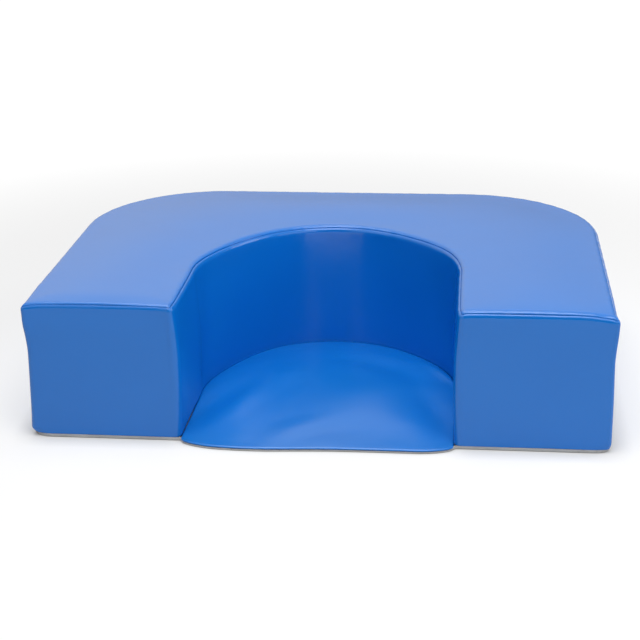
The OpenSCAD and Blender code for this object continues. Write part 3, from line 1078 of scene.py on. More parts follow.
@dataclass
class SeatPad:
    """The thin padded seat in the well."""

    block: Block
    vinyl: bpy.types.Material
    foam: bpy.types.Material
    top: float = 8.0 * MM
    edge_top: float = 6.0 * MM
    rise: float = 190 * MM
    crown: float = 5.0 * MM
    crown_place: float = 0.62
    roll: float = 3.6 * MM
    low: float = 3.2 * MM
    wall_drop: float = 1.2 * MM
    wall_roll: float = 4 * MM
    gap: float = 0.3 * MM
    thickness: float = 1.0 * MM
    foam_thickness: float = 3.6 * MM
    foam_depth: float = 2.2 * MM
    foam_inset: float = 9 * MM
    foam_short: float = 2 * MM
    foam_points: int = 61
    seam_radius: float = 1.0 * MM
    allowance: float = 2.5 * MM
    cell: float = 3.4 * MM
    fine_across: float = 0.8 * MM
    fine_along: float = 0.5 * MM
    reach: float = 16 * MM
    stuffing: Stuffing = Stuffing(pressure=0.4, slack=0.02, cap=3.0 * MM, cell=7 * MM)

    @property
    def half(self) -> float:
        """Half the pad's width."""
        return self.block.well_half - self.gap

    @property
    def roll_length(self) -> float:
        """The flat length of the rolled front edge."""
        return self.roll * math.pi / 2

    @property
    def straight_end(self) -> float:
        """The flat place at which the straight sides end."""
        return self.roll_length + self.block.well_straight + self.block.bulge - self.roll

    @property
    def length(self) -> float:
        """The flat length from the front seam to the back of the well."""
        return self.straight_end + self.block.well_depth - self.block.well_straight - self.gap

    def plan(self, a: Array, f: Array) -> tuple[Array, Array, Array, Array]:
        """Lays flat places in the well, in plan.

        Args:
            a: Places across the pad.
            f: Places from its front seam.

        Returns:
            x, y, the turn of the rolled front edge, and the distance from the well's wall.
        """
        b = self.block
        u = a / self.half
        v = np.clip((f - self.straight_end) / (self.length - self.straight_end), 0, 1)
        theta = np.clip(f / self.roll_length, 0, 1) * math.pi / 2
        inset = self.roll * (1 - np.cos(theta)) + np.clip(f, self.roll_length, None) - self.roll_length
        edge = b.pad_front(a)
        y_front = edge + inset * (b.well_y - edge) / (b.well_straight + b.bulge)
        y_back = b.well_y + (b.well_depth - b.well_straight - self.gap) * v * np.sqrt(1 - u**2 / 2)
        wall = np.minimum(self.half - np.abs(a), np.where(v > 0, self.length - f, 1.0))
        x, y = a * np.sqrt(1 - v**2 / 2), np.where(v > 0, y_back, y_front)
        rx, ry = b.well_axes
        t = b.well_turn(x, y)
        round_t = np.clip(t, 0, math.pi)
        full = b.fullness(t) - b.lean(t) / np.hypot(rx * np.cos(round_t), ry * np.sin(round_t))
        return x * full, b.well_y + (y - b.well_y) * np.where(v > 0, full, 1.0), theta, wall

    def place(self, a: Array, f: Array) -> tuple[Array, Array]:
        """Lays the panel's flat places, a across it and f from its front, on the foam."""
        f, depth = turned_in(f, 0.0, OPEN_END, self.seam_radius)
        x, y, theta, wall = self.plan(a, f)
        drop = self.wall_drop * (1 - np.sqrt(1 - (1 - np.clip(wall / self.wall_roll, 0, 1)) ** 2))
        z = self.low + (self.surface(a, f, x, y) - self.low) * np.sin(theta) - drop
        slope = np.cos(theta) * (f < self.roll_length)
        # The extra 0.001 keeps the front edge's normals just above level
        normals = unit(np.column_stack([np.zeros(len(x)), -slope, 1.001 - slope]))
        return np.column_stack([x, y + depth, z]), normals

    def surface(self, a: Array, f: Array, x: Array, y: Array) -> Array:
        """The height of the panel's top, from its rise from the front edge, its crown and its folds."""
        b = self.block
        span = (y - b.front + b.bulge) / (b.well_depth + b.bulge)
        ahead, behind = span / self.crown_place, (1 - span) / (1 - self.crown_place)
        middle = np.where(span < self.crown_place, ahead, behind)
        crown = self.crown * (1 - (a / self.half) ** 2) * np.clip(1 - (1 - middle) ** 2, 0, 1)
        risen = self.edge_top + (self.top - self.edge_top) * smooth((f - self.roll_length) / self.rise)
        return risen + crown + sum(fold.height(x, y) for fold in FOLDS)

    def place_foam(self, a: Array, f: Array) -> tuple[Array, Array]:
        """Lays the foam sheet, which stops short of the rolled front edge."""
        x, y, _, wall = self.plan(a, f)
        z = self.surface(a, f, x, y) - self.foam_depth
        z = np.maximum(z - self.wall_drop * (1 - smooth(wall / (3 * self.wall_roll))), self.foam_thickness)
        return np.column_stack([x, y, z]), np.tile([0.0, 0.0, 1.0], (len(x), 1))

    def make(self) -> None:
        """Builds the seat panel and the foam sheet under it."""
        panel = Pattern(
            graded(-self.half, self.half, self.fine_across, self.cell, self.reach),
            graded(-self.allowance, self.length, self.fine_along, self.cell, self.reach),
        ).lay("cover_seat", self.place, self.stuffing)
        dress(with_thickness(panel, self.thickness), self.vinyl, nodes=["seat_panel"])
        side, back = self.half - self.foam_short, self.length - self.foam_short
        foam = Pattern(
            np.linspace(-side, side, self.foam_points),
            np.linspace(self.roll_length + self.foam_inset, back, self.foam_points),
        ).lay("foam_seat", self.place_foam)
        dress(with_thickness(foam, self.foam_thickness), self.foam, nodes=["seat_foam"])


# The base and the foam block


@dataclass
class Underside:
    """The non-slip base fabric and the foam block above it.

    The edge_rings run from the edge that is tucked in behind the seam to the end of the roll,
    in the units of r in place_base.
    """

    block: Block
    fabric: bpy.types.Material
    foam: bpy.types.Material
    thickness: float = 1.0 * MM
    foam_clearance: float = 7 * MM
    foam_bottom: float = 1.8 * MM
    foam_step: float = 9 * MM
    foam_round: float = 9 * MM
    spine_half: float = 200 * MM
    tuck: float = 2 * MM
    lip_roll: float = 0.4
    lip_change: float = 6 * MM
    lip_ahead: float = 2 * MM
    step: float = 4.5 * MM
    weld: float = 0.02 * MM
    edge_rings: tuple[float, ...] = (-1.0, -0.4, 0.0, 0.05, 0.12, 0.25, 0.4, 0.55, 0.7, 0.85)
    rings: int = 40

    def place_base(self, rail: Rail, a: Array, r: Array) -> tuple[Array, Array]:
        """Lays the base's flat places on the floor.

        Args:
            rail: The footprint's outline.
            a: Lengths along the outline.
            r: From 0 at the seam to 1 where the rolled edge ends and 2 at the middle. Below 0 it
                lies tucked in behind the seam.

        Returns:
            The points and the unit normals.
        """
        b = self.block
        plan, out = rail.at(a)
        face_y = (plan + out * b.roll)[:, 1]
        ahead = smooth((b.front - self.lip_ahead - face_y) / self.lip_change)
        lip = b.lip + (b.pad_lip - b.lip) * ahead
        roll = self.lip_roll * lip
        down = np.clip(r, 0, 1) * (lip + (math.pi / 2 - 1) * roll)
        psi = np.clip((down - lip + roll) / roll, 0, math.pi / 2)
        drop = np.minimum(down, lip - roll) + roll * np.sin(psi)
        edge = plan + out * (b.roll - roll * (1 - np.cos(psi)))[:, None]
        spine = np.column_stack([np.clip(edge[:, 0], -self.spine_half, self.spine_half), np.zeros(len(a))])
        t = np.clip(r - 1, 0, 1)[:, None]
        points = np.column_stack([edge * (1 - t) + spine * t, lip - drop])
        tuck = np.clip(-r, 0, 1)
        points[:, :2] -= out * (tuck * self.tuck)[:, None]
        normals = np.column_stack([out * np.cos(psi)[:, None], -np.sin(psi)])
        return b.settled(points), normals

    def make_base(self) -> None:
        """Builds the base fabric, with its turned-up edge."""
        rail = self.block.foot_rail()
        rings = np.array([*self.edge_rings, *np.linspace(1, 2, self.rings)])
        pattern = Pattern(np.linspace(0, rail.length, round(rail.length / self.step)), rings)
        piece = pattern.lay("base_fabric", lambda a, r: self.place_base(rail, a, r))
        bm = bmesh.new()
        bm.from_mesh(piece.data)
        bmesh.ops.remove_doubles(bm, verts=bm.verts, dist=self.weld)
        bmesh.ops.reverse_faces(bm, faces=bm.faces)
        bm.to_mesh(piece.data)
        bm.free()
        dress(with_thickness(piece, self.thickness), self.fabric, nodes=["base_panel"])

    def make_foam(self) -> None:
        """Builds the foam block from its outline, raised and rounded."""
        b = self.block
        inset = b.roll - self.foam_clearance
        outline: list[Vector] = []
        for rail in (b.front_rail(), b.outer_rail(b.side_join)):
            stops = np.linspace(0, rail.length, round(rail.length / self.foam_step))[:-1]
            plan, out = rail.at(stops)
            outline += [Vector((x, y, self.foam_bottom)) for x, y in plan + out * inset]
        bm = bmesh.new()
        base = bm.faces.new([bm.verts.new(p) for p in outline])
        raised = bmesh.ops.extrude_face_region(bm, geom=[base])["geom"]
        top = [g for g in raised if isinstance(g, bmesh.types.BMVert)]
        rise = b.height - self.foam_clearance - self.foam_bottom
        bmesh.ops.translate(bm, verts=top, vec=(0, 0, rise))
        level = self.foam_bottom + rise
        rim = [
            e for e in bm.edges
            if all(abs(v.co.z - level) < SLACK for v in e.verts) and len(e.link_faces) == 2
        ]
        round_edges(bm, rim, self.foam_round, 4)
        bmesh.ops.triangulate(bm, faces=[f for f in bm.faces if len(f.verts) > 4])
        bmesh.ops.recalc_face_normals(bm, faces=bm.faces)
        piece = dress(as_piece(bm, "foam_block"), self.foam, nodes=["foam_core"])

    def make(self) -> None:
        """Builds the base fabric and the foam block."""
        self.make_foam()
        self.make_base()


# The zip


@dataclass
class Zip:
    """The closing zip low on the back, with the thread that holds it. Angles are in degrees."""

    tape: bpy.types.Material
    teeth: bpy.types.Material
    metal: bpy.types.Material
    thread: bpy.types.Material
    rib: float = 0.22 * MM
    rib_inset: float = 1.2 * MM
    rib_width: float = 0.8 * MM
    selvedge: float = 0.5
    selvedge_inset: float = 1.5 * MM
    selvedge_width: float = 1.0 * MM
    tape_points: tuple[int, int] = (180, 32)
    flat_angle: float = 1.0
    sharp_angle: float = 25.0
    bevel: float = 0.25 * MM
    tooth_bevel: float = 0.18 * MM
    stitch: float = 2.9 * MM
    stitch_pitch: float = 3.6 * MM
    stitch_inset: float = 2.6 * MM
    stitch_proud: float = 0.15 * MM
    thread_radius: float = 0.36 * MM

    def make_hard(
        self, node: str, width: float, finish: bpy.types.Material, body: Body = Body.SEAT
    ) -> None:
        """Copies a hard CAD node, rounds its edges and dresses it.

        Args:
            node: The CAD node.
            width: The width of the rounded edges.
            finish: The piece's material.
            body: The body that it moves with.
        """
        bm = bmesh.new()
        bm.from_mesh(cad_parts[node].data)
        bmesh.ops.remove_doubles(bm, verts=bm.verts, dist=HAIR)
        flat, sharp = math.radians(self.flat_angle), math.radians(self.sharp_angle)
        bmesh.ops.dissolve_limit(bm, angle_limit=flat, verts=bm.verts, edges=bm.edges)
        round_edges(bm, [e for e in bm.edges if e.is_manifold and e.calc_face_angle(0) > sharp], width, 2)
        for face in bm.faces:
            face.smooth = False
        dress(as_piece(bm, f"zip_{node}"), finish, body, [node])

    def make_tape(self, node: str) -> None:
        """Builds one woven tape, with a low rib along each long edge."""
        low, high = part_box(node)
        length, width = high.x - low.x, high.z - low.z
        teeth_above = low.z <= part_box("slider_body")[0].z

        def place(a: Array, h: Array) -> tuple[Array, Array]:
            """Lays the flat tape upright behind the opening, facing back."""
            from_teeth = width - h if teeth_above else h
            rib = self.rib * hump(from_teeth - self.rib_inset, self.rib_width)
            edge = hump(from_teeth - width + self.selvedge_inset, self.selvedge_width)
            rib += self.selvedge * self.rib * edge
            points = np.column_stack([high.x - a, np.full(len(a), high.y - self.rib) + rib, low.z + h])
            return points, np.tile([0.0, 1.0, 0.0], (len(a), 1))

        along, up = self.tape_points
        pattern = Pattern(np.linspace(0, length, along), np.linspace(0, width, up))
        sheet = pattern.lay(node.replace("tape", "zip_tape"), place)
        piece = with_thickness(sheet, high.y - low.y - self.rib)
        dress(piece, self.tape, nodes=[node])

    def make_stitches(self) -> None:
        """Builds the thread stitches round the opening."""
        slider_low, slider_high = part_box("slider_body")
        middle, back = (slider_low.z + slider_high.z) / 2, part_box("outer_band")[1].y
        half_x = OPENING_HALF + self.stitch_inset
        half_z = OPENING_HEIGHT / 2 + self.stitch_inset
        bm = bmesh.new()
        for run, offset, level in ((half_x, half_z, True), (half_z, half_x, False)):
            count = round(2 * run / self.stitch_pitch)
            size = Vector((self.stitch / 2, self.thread_radius, self.thread_radius))
            size = size if level else size.zyx
            for side in (-1, 1):
                for i in range(count):
                    along = -run + (i + 0.5) * 2 * run / count
                    x, z = (along, side * offset) if level else (side * offset, along)
                    spot = Vector((x, back + self.stitch_proud, middle + z))
                    place = Matrix.LocRotScale(spot, None, size)
                    bmesh.ops.create_uvsphere(bm, u_segments=8, v_segments=6, radius=1.0, matrix=place)
        for face in bm.faces:
            face.smooth = True
        dress(as_piece(bm, "zip_stitches"), self.thread)

    def make(self) -> None:
        """Builds the tapes, the chain, the slider, the pull tab and the stitches."""
        for node in ("upper_tape", "lower_tape"):
            self.make_tape(node)
        for node in ("upper_teeth", "lower_teeth"):
            self.make_hard(node, self.tooth_bevel, self.teeth)
        for node in ("top_stops", "bottom_stop"):
            self.make_hard(node, self.bevel, self.metal)
        self.make_hard("slider_body", self.bevel, self.metal, Body.SLIDER)
        self.make_hard("pull_tab", self.bevel, self.metal, Body.PULL)
        self.make_stitches()


# Shader nodes


class NodeBoard:
    """Adds and links the nodes of one material, world or node group."""

    def __init__(self, tree: bpy.types.NodeTree) -> None:
        """Keeps the tree that the nodes go in."""
        self.tree = tree

    @classmethod
    def cleared(cls, owner: bpy.types.Material | bpy.types.World) -> "NodeBoard":
        """Starts the nodes of a material or a world afresh."""
        owner.use_nodes = True
        owner.node_tree.nodes.clear()
        return cls(owner.node_tree)

    def fill(self, node: bpy.types.Node, sockets: dict[str | int, object]) -> bpy.types.Node:
        """Sets a node's inputs, or links them where an output is given, and returns the node."""
        for name, value in sockets.items():
            if isinstance(value, Socket):
                self.tree.links.new(value, node.inputs[name])
            else:
                node.inputs[name].default_value = value
        return node

    def add(
        self, kind: str, sockets: dict[str | int, object] | None = None, **settings: object
    ) -> bpy.types.Node:
        """Adds a node.

        Args:
            kind: The node's type name, without its ShaderNode prefix.
            sockets: A value or an output socket for each input that isn't left as it is.
            **settings: The node's own settings.

        Returns:
            The node.
        """
        node = self.tree.nodes.new(f"ShaderNode{kind}")
        for name, value in settings.items():
            setattr(node, name, value)
        return self.fill(node, sockets or {})

    def math(self, operation: str, a: object, b: object = 0.0, c: object = 0.0) -> Socket:
        """Adds a math node on a, b and c, and returns its output."""
        return self.add("Math", {0: a, 1: b, 2: c}, operation=operation).outputs[0]

    def group(self, tree: bpy.types.NodeTree, sockets: dict[str, object]) -> bpy.types.Node:
        """Places a node group with its own values."""
        return self.add("Group", sockets, node_tree=tree)

    def bump(self, height: Socket, depth: float, strength: float, under: Socket | None = None) -> Socket:
        """Adds a bump.

        Args:
            height: The height field.
            depth: The depth in metres.
            strength: How strongly it shows.
            under: The normal of another bump that it lies on.

        Returns:
            Its normal.
        """
        sockets = {"Height": height, "Distance": depth, "Strength": strength}
        if under is not None:
            sockets["Normal"] = under
        return self.add("Bump", sockets).outputs[0]


def new_group(
    name: str, inputs: Sequence[tuple[str, str]], outputs: Sequence[str]
) -> tuple[bpy.types.NodeTree, NodeBoard, dict[str, Socket], bpy.types.Node]:
    """Starts a shader node group.

    Args:
        name: The group's name.
        inputs: The name and socket type of each input.
        outputs: The name of each output, all floats.

    Returns:
        The group, its board, its input sockets by name, and its output node.
    """
    tree = bpy.data.node_groups.new(name, "ShaderNodeTree")
    for label, kind in inputs:
        tree.interface.new_socket(label, in_out="INPUT", socket_type=kind)
    for label in outputs:
        tree.interface.new_socket(label, in_out="OUTPUT", socket_type=FLOAT)
    source, sink = tree.nodes.new("NodeGroupInput"), tree.nodes.new("NodeGroupOutput")
    return tree, NodeBoard(tree), {label: source.outputs[label] for label, _ in inputs}, sink


class Effects:
    """The node groups that several materials share, each built once.

    The grain's scales and reach are shares of its density and of one pebble's width.
    """

    warp_scale: float = 0.45
    warp_reach: float = 0.9
    valley: float = 0.28
    pebble_share: float = 0.75
    fine_scale: float = 2.6
    fine_share: float = 0.35
    grain_detail: float = 2.0
    mottle_scales: tuple[tuple[str, float], ...] = (("Broad", 1.0), ("Fine", 7.0))
    mottle_detail: float = 3.0
    mottle_range: tuple[float, float] = (0.15, 0.85)
    rub_turn: tuple[float, float, float] = (0.3, 0.1, 0.7)
    rub_stretch: tuple[float, float, float] = (1.0, 5.0, 2.2)
    rub_detail: float = 4.0
    rub_range: tuple[float, float] = (0.62, 0.78)

    def __init__(self) -> None:
        """Builds the groups."""
        self.grain = self.build_grain()
        self.mottle = self.build_mottle()
        self.weave = self.build_weave()
        self.rubs = self.build_rubs()

    def build_grain(self) -> bpy.types.NodeTree:
        """Pebbles parted by fine valleys, as on embossed vinyl or skinned foam."""
        tree, board, given, sink = new_group("Grain", [("Vector", VECTOR), ("Density", FLOAT)], ["Height"])
        vector, density = given["Vector"], given["Density"]
        broad = board.math("MULTIPLY", density, self.warp_scale)
        warp = board.add("TexNoise", {"Vector": vector, "Scale": broad, "Detail": self.grain_detail})
        half = (0.5, 0.5, 0.5)
        shift = board.add("VectorMath", {0: warp.outputs["Color"], 1: half}, operation="SUBTRACT")
        reach = board.math("DIVIDE", self.warp_reach, density)
        moved = board.add("VectorMath", {0: shift.outputs[0], "Scale": reach}, operation="SCALE")
        place = board.add("VectorMath", {0: vector, 1: moved.outputs[0]}, operation="ADD")
        cells = board.add(
            "TexVoronoi",
            {"Vector": place.outputs[0], "Scale": density},
            feature="DISTANCE_TO_EDGE",
        )
        pebble = board.add(
            "MapRange",
            {"Value": cells.outputs["Distance"], "From Max": self.valley},
            interpolation_type="SMOOTHSTEP",
        )
        close = board.math("MULTIPLY", density, self.fine_scale)
        fine = board.add("TexNoise", {"Vector": vector, "Scale": close, "Detail": self.grain_detail})
        low = board.math("MULTIPLY", fine.outputs["Fac"], self.fine_share)
        height = board.math("MULTIPLY_ADD", pebble.outputs[0], self.pebble_share, low)
        board.fill(sink, {"Height": height})
        return tree

    def build_mottle(self) -> bpy.types.NodeTree:
        """Soft cloudy unevenness, with a broad part and a fine part."""
        outputs = [name for name, _ in self.mottle_scales]
        tree, board, given, sink = new_group("Mottle", [("Vector", VECTOR), ("Scale", FLOAT)], outputs)
        low, high = self.mottle_range
        for name, times in self.mottle_scales:
            scale = board.math("MULTIPLY", given["Scale"], times)
            noise = board.add(
                "TexNoise", {"Vector": given["Vector"], "Scale": scale, "Detail": self.mottle_detail}
            )
            spread = board.add(
                "MapRange", {"Value": noise.outputs["Fac"], "From Min": low, "From Max": high}
            )
            board.fill(sink, {name: spread.outputs[0]})
        return tree

    def build_weave(self) -> bpy.types.NodeTree:
        """A plain weave of round threads, on two axes in metres."""
        tree, board, given, sink = new_group("Weave", [("Vector", VECTOR), ("Threads", FLOAT)], ["Height"])
        parts = board.add("SeparateXYZ", {0: given["Vector"]})
        turns = board.math("MULTIPLY", given["Threads"], math.pi)
        waves = [board.math("SINE", board.math("MULTIPLY", parts.outputs[i], turns)) for i in (0, 1)]
        over = board.math("GREATER_THAN", board.math("MULTIPLY", *waves), 0.0)
        tops = [board.math("ABSOLUTE", wave) for wave in waves]
        under = board.math("SUBTRACT", 1.0, over)
        shown = [board.math("MULTIPLY", top, share) for top, share in zip(tops, (over, under))]
        board.fill(sink, {"Height": board.math("ADD", *shown)})
        return tree

    def build_rubs(self) -> bpy.types.NodeTree:
        """Sparse soft rub marks from handling, longer than they are wide."""
        tree, board, given, sink = new_group("Rubs", [("Vector", VECTOR), ("Scale", FLOAT)], ["Mask"])
        stretch = board.add(
            "Mapping", {"Vector": given["Vector"], "Rotation": self.rub_turn, "Scale": self.rub_stretch}
        )
        marks = board.add(
            "TexNoise",
            {"Vector": stretch.outputs[0], "Scale": given["Scale"], "Detail": self.rub_detail},
        )
        low, high = self.rub_range
        sparse = board.add("MapRange", {"Value": marks.outputs["Fac"], "From Min": low, "From Max": high})
        board.fill(sink, {"Mask": sparse.outputs[0]})
        return tree


@dataclass(frozen=True)
class Finish:
    """What every finish shares: its name, its two tones and its range of roughness."""

    name: str
    tone: Colour
    second: Colour
    rough: tuple[float, float]

    def start(self) -> tuple[bpy.types.Material, NodeBoard, bpy.types.Node, Socket]:
        """Starts the material.

        Returns:
            The material, its board, its Principled BSDF, and the object coordinates.
        """
        material = bpy.data.materials.new(self.name)
        board = NodeBoard.cleared(material)
        shader = board.add("BsdfPrincipled")
        board.add("OutputMaterial", {"Surface": shader.outputs[0]})
        return material, board, shader, board.add("TexCoord").outputs["Object"]

    def tint(self, board: NodeBoard, shader: bpy.types.Node, mask: Socket) -> None:
        """Mixes the two tones and the roughness by a mask."""
        tones = {6: (*self.tone, 1.0), 7: (*self.second, 1.0)}
        mix = board.add("Mix", {"Factor": mask, **tones}, data_type="RGBA")
        rough = board.add("MapRange", {"Value": mask, "To Min": self.rough[0], "To Max": self.rough[1]})
        board.fill(shader, {"Base Color": mix.outputs[2], "Roughness": rough.outputs[0]})


@dataclass(frozen=True)
class Vinyl(Finish):
    """Coated vinyl with a fine embossed grain and a semi-gloss skin."""

    cells: float = 820.0
    grain_depth: float = 0.018 * MM
    grain_strength: float = 0.6
    dimple_depth: float = 0.06 * MM
    dimple_strength: float = 0.5
    mottle_scale: float = 9.0
    rub_scale: float = 14.0
    rub_share: float = 0.25
    ior: float = 1.5

    def build(self, effects: Effects) -> bpy.types.Material:
        """Builds the material."""
        material, board, shader, place = self.start()
        mottle = board.group(effects.mottle, {"Vector": place, "Scale": self.mottle_scale})
        rubs = board.group(effects.rubs, {"Vector": place, "Scale": self.rub_scale})
        mask = board.math("MULTIPLY_ADD", rubs.outputs["Mask"], self.rub_share, mottle.outputs["Broad"])
        self.tint(board, shader, mask)
        grain = board.group(effects.grain, {"Vector": place, "Density": self.cells})
        soft = board.bump(mottle.outputs["Fine"], self.dimple_depth, self.dimple_strength)
        normal = board.bump(grain.outputs["Height"], self.grain_depth, self.grain_strength, soft)
        board.fill(shader, {"Normal": normal, "IOR": self.ior})
        return material


@dataclass(frozen=True)
class Woven(Finish):
    """A woven fabric, on object coordinates turned so that its threads lie in the sheet."""

    threads: float = 1400.0
    depth: float = 0.25 * MM
    strength: float = 0.8
    upright: bool = False
    mottle_scale: float = 30.0
    specular: float = 0.25

    def build(self, effects: Effects) -> bpy.types.Material:
        """Builds the material."""
        material, board, shader, place = self.start()
        if self.upright:
            turned = board.add("Mapping", {"Vector": place, "Rotation": (math.pi / 2, 0, 0)})
            place = turned.outputs[0]
        weave = board.group(effects.weave, {"Vector": place, "Threads": self.threads}).outputs["Height"]
        mottle = board.group(effects.mottle, {"Vector": place, "Scale": self.mottle_scale})
        # The tone follows the weave's height times a broad mottle: the hollows between the threads are
        # darker, a painted shade, and the mottle is the fabric's own uneven tone
        self.tint(board, shader, board.math("MULTIPLY", weave, mottle.outputs["Broad"]))
        normal = board.bump(weave, self.depth, self.strength)
        board.fill(shader, {"Normal": normal, "Specular IOR Level": self.specular})
        return material


@dataclass(frozen=True)
class Foam(Finish):
    """Open-cell foam."""

    cells: float = 900.0
    depth: float = 0.4 * MM
    strength: float = 0.9
    specular: float = 0.15

    def build(self, effects: Effects) -> bpy.types.Material:
        """Builds the material."""
        material, board, shader, place = self.start()
        grain = board.group(effects.grain, {"Vector": place, "Density": self.cells}).outputs["Height"]
        # The tone follows the grain's height: the valleys between the cells are darker, a painted shade in
        # the pores, and the grain's fine noise adds uneven tone
        self.tint(board, shader, grain)
        normal = board.bump(grain, self.depth, self.strength)
        board.fill(shader, {"Normal": normal, "Specular IOR Level": self.specular})
        return material


@dataclass(frozen=True)
class Hard(Finish):
    """A moulded plastic, a plated metal or a tight thread."""

    metallic: float = 0.0
    speckle: float = 600.0
    depth: float = 0.02 * MM
    strength: float = 0.5

    def build(self, effects: Effects) -> bpy.types.Material:
        """Builds the material."""
        material, board, shader, place = self.start()
        mottle = board.group(effects.mottle, {"Vector": place, "Scale": self.speckle})
        self.tint(board, shader, mottle.outputs["Broad"])
        normal = board.bump(mottle.outputs["Fine"], self.depth, self.strength)
        board.fill(shader, {"Normal": normal, "Metallic": self.metallic})
        return material


@dataclass(frozen=True)
class Finishes:
    """The finishes of the seat."""

    vinyl: Vinyl = Vinyl("Blue vinyl", (0.002, 0.157, 0.578), (0.003, 0.168, 0.604), (0.14, 0.18))
    worn: Vinyl = Vinyl(
        "Worn blue vinyl",
        (0.002, 0.169, 0.59),
        (0.003, 0.180, 0.615),
        (0.29, 0.35),
        grain_depth=0.03 * MM,
    )
    # The darker tone is partly painted shade between the threads, partly the fabric's uneven tone
    base: Woven = Woven(
        "Grey non-slip fabric", (0.36, 0.36, 0.36), (0.62, 0.62, 0.62), (0.75, 0.6), threads=900.0
    )
    # The darker cream is mostly painted shade in the pores
    foam: Foam = Foam("Cream foam", (0.55, 0.50, 0.36), (0.80, 0.75, 0.58), (0.95, 0.85))
    # The darker tone is partly painted shade between the threads, partly the tape's uneven tone
    tape: Woven = Woven(
        "Zip tape",
        (0.008, 0.045, 0.20),
        (0.02, 0.10, 0.38),
        (0.85, 0.7),
        threads=1500.0,
        depth=0.2 * MM,
        upright=True,
    )
    teeth: Hard = Hard("Zip teeth", (0.006, 0.06, 0.26), (0.010, 0.08, 0.32), (0.32, 0.42))
    metal: Hard = Hard("Nickel", (0.60, 0.60, 0.58), (0.72, 0.72, 0.70), (0.22, 0.34), metallic=1.0)
    thread: Hard = Hard(
        "Sewing thread", (0.01, 0.12, 0.46), (0.02, 0.18, 0.58), (0.6, 0.7), speckle=2500.0
    )


# The stage


@dataclass(frozen=True)
class View:
    """The camera at the photograph's viewing angle, with its angles in degrees."""

    place: tuple[float, float, float] = (0.2174, -2.2422, 0.9442)
    yaw: float = -6.12
    pitch: float = 20.87
    roll: float = -0.90
    lens: float = 82.56
    sensor: float = 36.0

    def make(self) -> None:
        """Creates the camera and gives it to the scene."""
        yaw, pitch, roll = (math.radians(a) for a in (self.yaw, self.pitch, self.roll))
        level = math.cos(pitch)
        forward = Vector((math.sin(yaw) * level, math.cos(yaw) * level, -math.sin(pitch)))
        right = Vector((math.cos(yaw), -math.sin(yaw), 0))
        up = right.cross(forward)
        across = right * math.cos(roll) + up * math.sin(roll)
        above = up * math.cos(roll) - right * math.sin(roll)
        data = bpy.data.cameras.new("Camera")
        data.lens, data.sensor_width = self.lens, self.sensor
        camera = bpy.data.objects.new("Camera", data)
        bpy.context.scene.collection.objects.link(camera)
        turned = Matrix((across, above, -forward)).transposed().to_4x4()
        camera.matrix_world = Matrix.Translation(self.place) @ turned
        bpy.context.scene.camera = camera


@dataclass(frozen=True)
class Lamp:
    """A soft rectangular lamp that looks at a point."""

    name: str
    place: tuple[float, float, float]
    target: tuple[float, float, float]
    width: float
    depth: float
    power: float

    def make(self) -> None:
        """Creates the lamp."""
        data = bpy.data.lights.new(self.name, "AREA")
        data.shape, data.size, data.size_y = "RECTANGLE", self.width, self.depth
        data.energy = self.power
        lamp = bpy.data.objects.new(self.name, data)
        bpy.context.scene.collection.objects.link(lamp)
        lamp.location = self.place
        way = Vector(self.target) - Vector(self.place)
        lamp.rotation_euler = way.to_track_quat("-Z", "Y").to_euler()


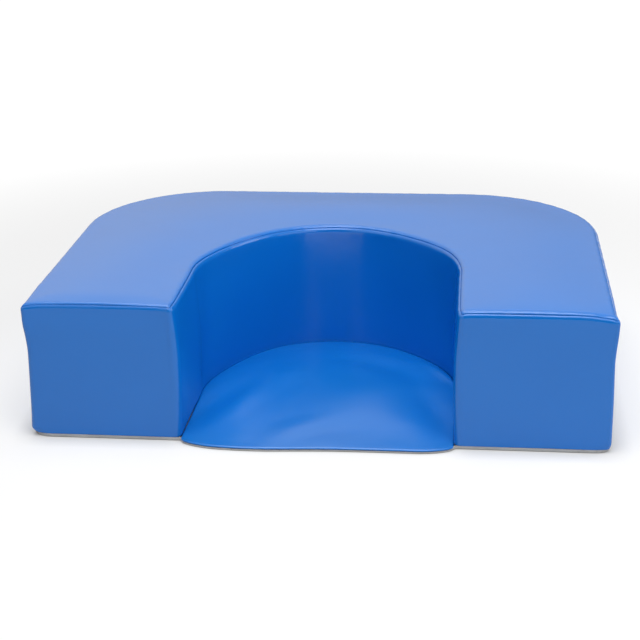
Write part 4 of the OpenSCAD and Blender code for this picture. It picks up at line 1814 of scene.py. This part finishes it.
@dataclass(frozen=True)
class Studio:
    """The white floor, the white surroundings and the soft lamps.

    In a reflection the surroundings have the level around, plus to_right, to_back and to_top
    times the direction's X, Y and Z, kept between dimmest and brightest. They light nothing
    else: matt surfaces get their light from the lamps.
    """

    floor_half: float = 25.0
    floor_drop: float = 0.3 * MM
    floor_tone: float = 0.9
    floor_lift: float = 0.5
    far_lift: float = 0.97
    lit_reach: tuple[float, float] = (0.7, 1.9)
    floor_glow: float = 1.12
    # How far and how finely ambient occlusion darkens the floor's glow round the seat, a painted shadow
    painted_shadow_reach: float = 38 * MM
    painted_shadow_samples: int = 16
    around: float = -0.45
    to_right: float = -0.75
    to_back: float = 0.76
    to_top: float = 2.1
    dimmest: float = 0.06
    brightest: float = 2.0
    lamps: tuple[Lamp, ...] = (
        Lamp("Overhead", (-0.3, 0.3, 2.3), (0, 0, 0.1), 1.4, 1.4, 15.0),
        Lamp("Overhead front", (0.1, -0.9, 2.2), (0, 0, 0.1), 1.4, 1.4, 32.0),
        Lamp("Front left", (-1.7, -1.9, 1.5), (0, 0, 0.1), 2.2, 1.8, 10.0),
        Lamp("Front right", (1.7, -1.9, 1.5), (0, 0, 0.1), 2.2, 1.8, 17.0),
        Lamp("Right", (2.3, 0.2, 1.3), (0, 0, 0.1), 1.4, 1.4, 20.0),
    )

    @staticmethod
    def seen(board: NodeBoard) -> tuple[Socket, Socket]:
        """1 for what the camera sees straight, and 1 for a reflection or through glass."""
        path = board.add("LightPath")
        indirect = board.math("ADD", path.outputs["Is Glossy Ray"], path.outputs["Is Transmission Ray"])
        return path.outputs["Is Camera Ray"], board.math("MINIMUM", indirect, 1.0)

    def make_floor(self) -> None:
        """Builds the floor, which is lifted to white but keeps the shadow. Near the seat ambient occlusion
        darkens its glow: a painted shadow round the seat's foot.
        """
        bm = bmesh.new()
        bmesh.ops.create_grid(bm, x_segments=1, y_segments=1, size=self.floor_half)
        bmesh.ops.translate(bm, verts=bm.verts, vec=(0, 0, -self.floor_drop))
        floor = as_piece(bm, "floor")
        material = bpy.data.materials.new("White floor")
        board = NodeBoard.cleared(material)
        matt = board.add("BsdfDiffuse", {"Color": (self.floor_tone,) * 3 + (1.0,)})
        # Ambient occlusion darkens the white glow round the seat's foot: a painted shadow, beside the real
        # shadow in the matt part
        painted_foot_shadow = board.add(
            "AmbientOcclusion", {"Distance": self.painted_shadow_reach}, samples=self.painted_shadow_samples
        )
        glow = board.add("Emission", {"Color": painted_foot_shadow.outputs["Color"], "Strength": self.floor_glow})
        seen = board.math("MINIMUM", board.math("ADD", *self.seen(board)), 1.0)
        away = board.add("VectorMath", {0: board.add("TexCoord").outputs["Object"]}, operation="LENGTH")
        lift = board.add(
            "MapRange",
            {
                "Value": away.outputs["Value"],
                "From Min": self.lit_reach[0],
                "From Max": self.lit_reach[1],
                "To Min": self.floor_lift,
                "To Max": self.far_lift,
            },
            interpolation_type="SMOOTHSTEP",
        )
        share = board.math("MULTIPLY", seen, lift.outputs[0])
        mix = board.add("MixShader", {0: share, 1: matt.outputs[0], 2: glow.outputs[0]})
        board.add("OutputMaterial", {"Surface": mix.outputs[0]})
        floor.data.materials.append(material)

    def make_world(self) -> None:
        """Builds the surroundings, white to the camera but with levels of their own in reflections."""
        world = bpy.data.worlds.new("Studio")
        bpy.context.scene.world = world
        board = NodeBoard.cleared(world)
        straight, mirrored = self.seen(board)
        towards = board.add("SeparateXYZ", {"Vector": board.add("TexCoord").outputs["Generated"]})
        sideways = board.math("MULTIPLY", towards.outputs["X"], self.to_right)
        upwards = board.math("MULTIPLY", towards.outputs["Z"], self.to_top)
        backwards = board.math("MULTIPLY_ADD", towards.outputs["Y"], self.to_back, self.around)
        level = board.math("ADD", board.math("ADD", sideways, upwards), backwards)
        level = board.math("MINIMUM", board.math("MAXIMUM", level, self.dimmest), self.brightest)
        strength = board.math("ADD", straight, board.math("MULTIPLY", mirrored, level))
        sky = board.add("Background", {"Color": (1, 1, 1, 1), "Strength": strength})
        board.add("OutputWorld", {"Surface": sky.outputs[0]})

    def make(self) -> None:
        """Builds the stage and its light."""
        self.make_floor()
        self.make_world()
        for lamp in self.lamps:
            lamp.make()
        bpy.context.scene.view_settings.view_transform = "Standard"


def main() -> None:
    """Builds every piece of the seat, the stage, the camera and the lamps."""
    logging.basicConfig(level=logging.INFO, format="%(name)s: %(message)s")
    View().make()
    effects, finishes = Effects(), Finishes()
    vinyl, foam = finishes.vinyl.build(effects), finishes.foam.build(effects)
    block = Block.from_frame()
    Cover(block, vinyl).make()
    SeatPad(block, finishes.worn.build(effects), foam).make()
    Underside(block, finishes.base.build(effects), foam).make()
    Zip(
        tape=finishes.tape.build(effects),
        teeth=finishes.teeth.build(effects),
        metal=finishes.metal.build(effects),
        thread=finishes.thread.build(effects),
    ).make()
    Studio().make()


if __name__ == "__main__":
    main()
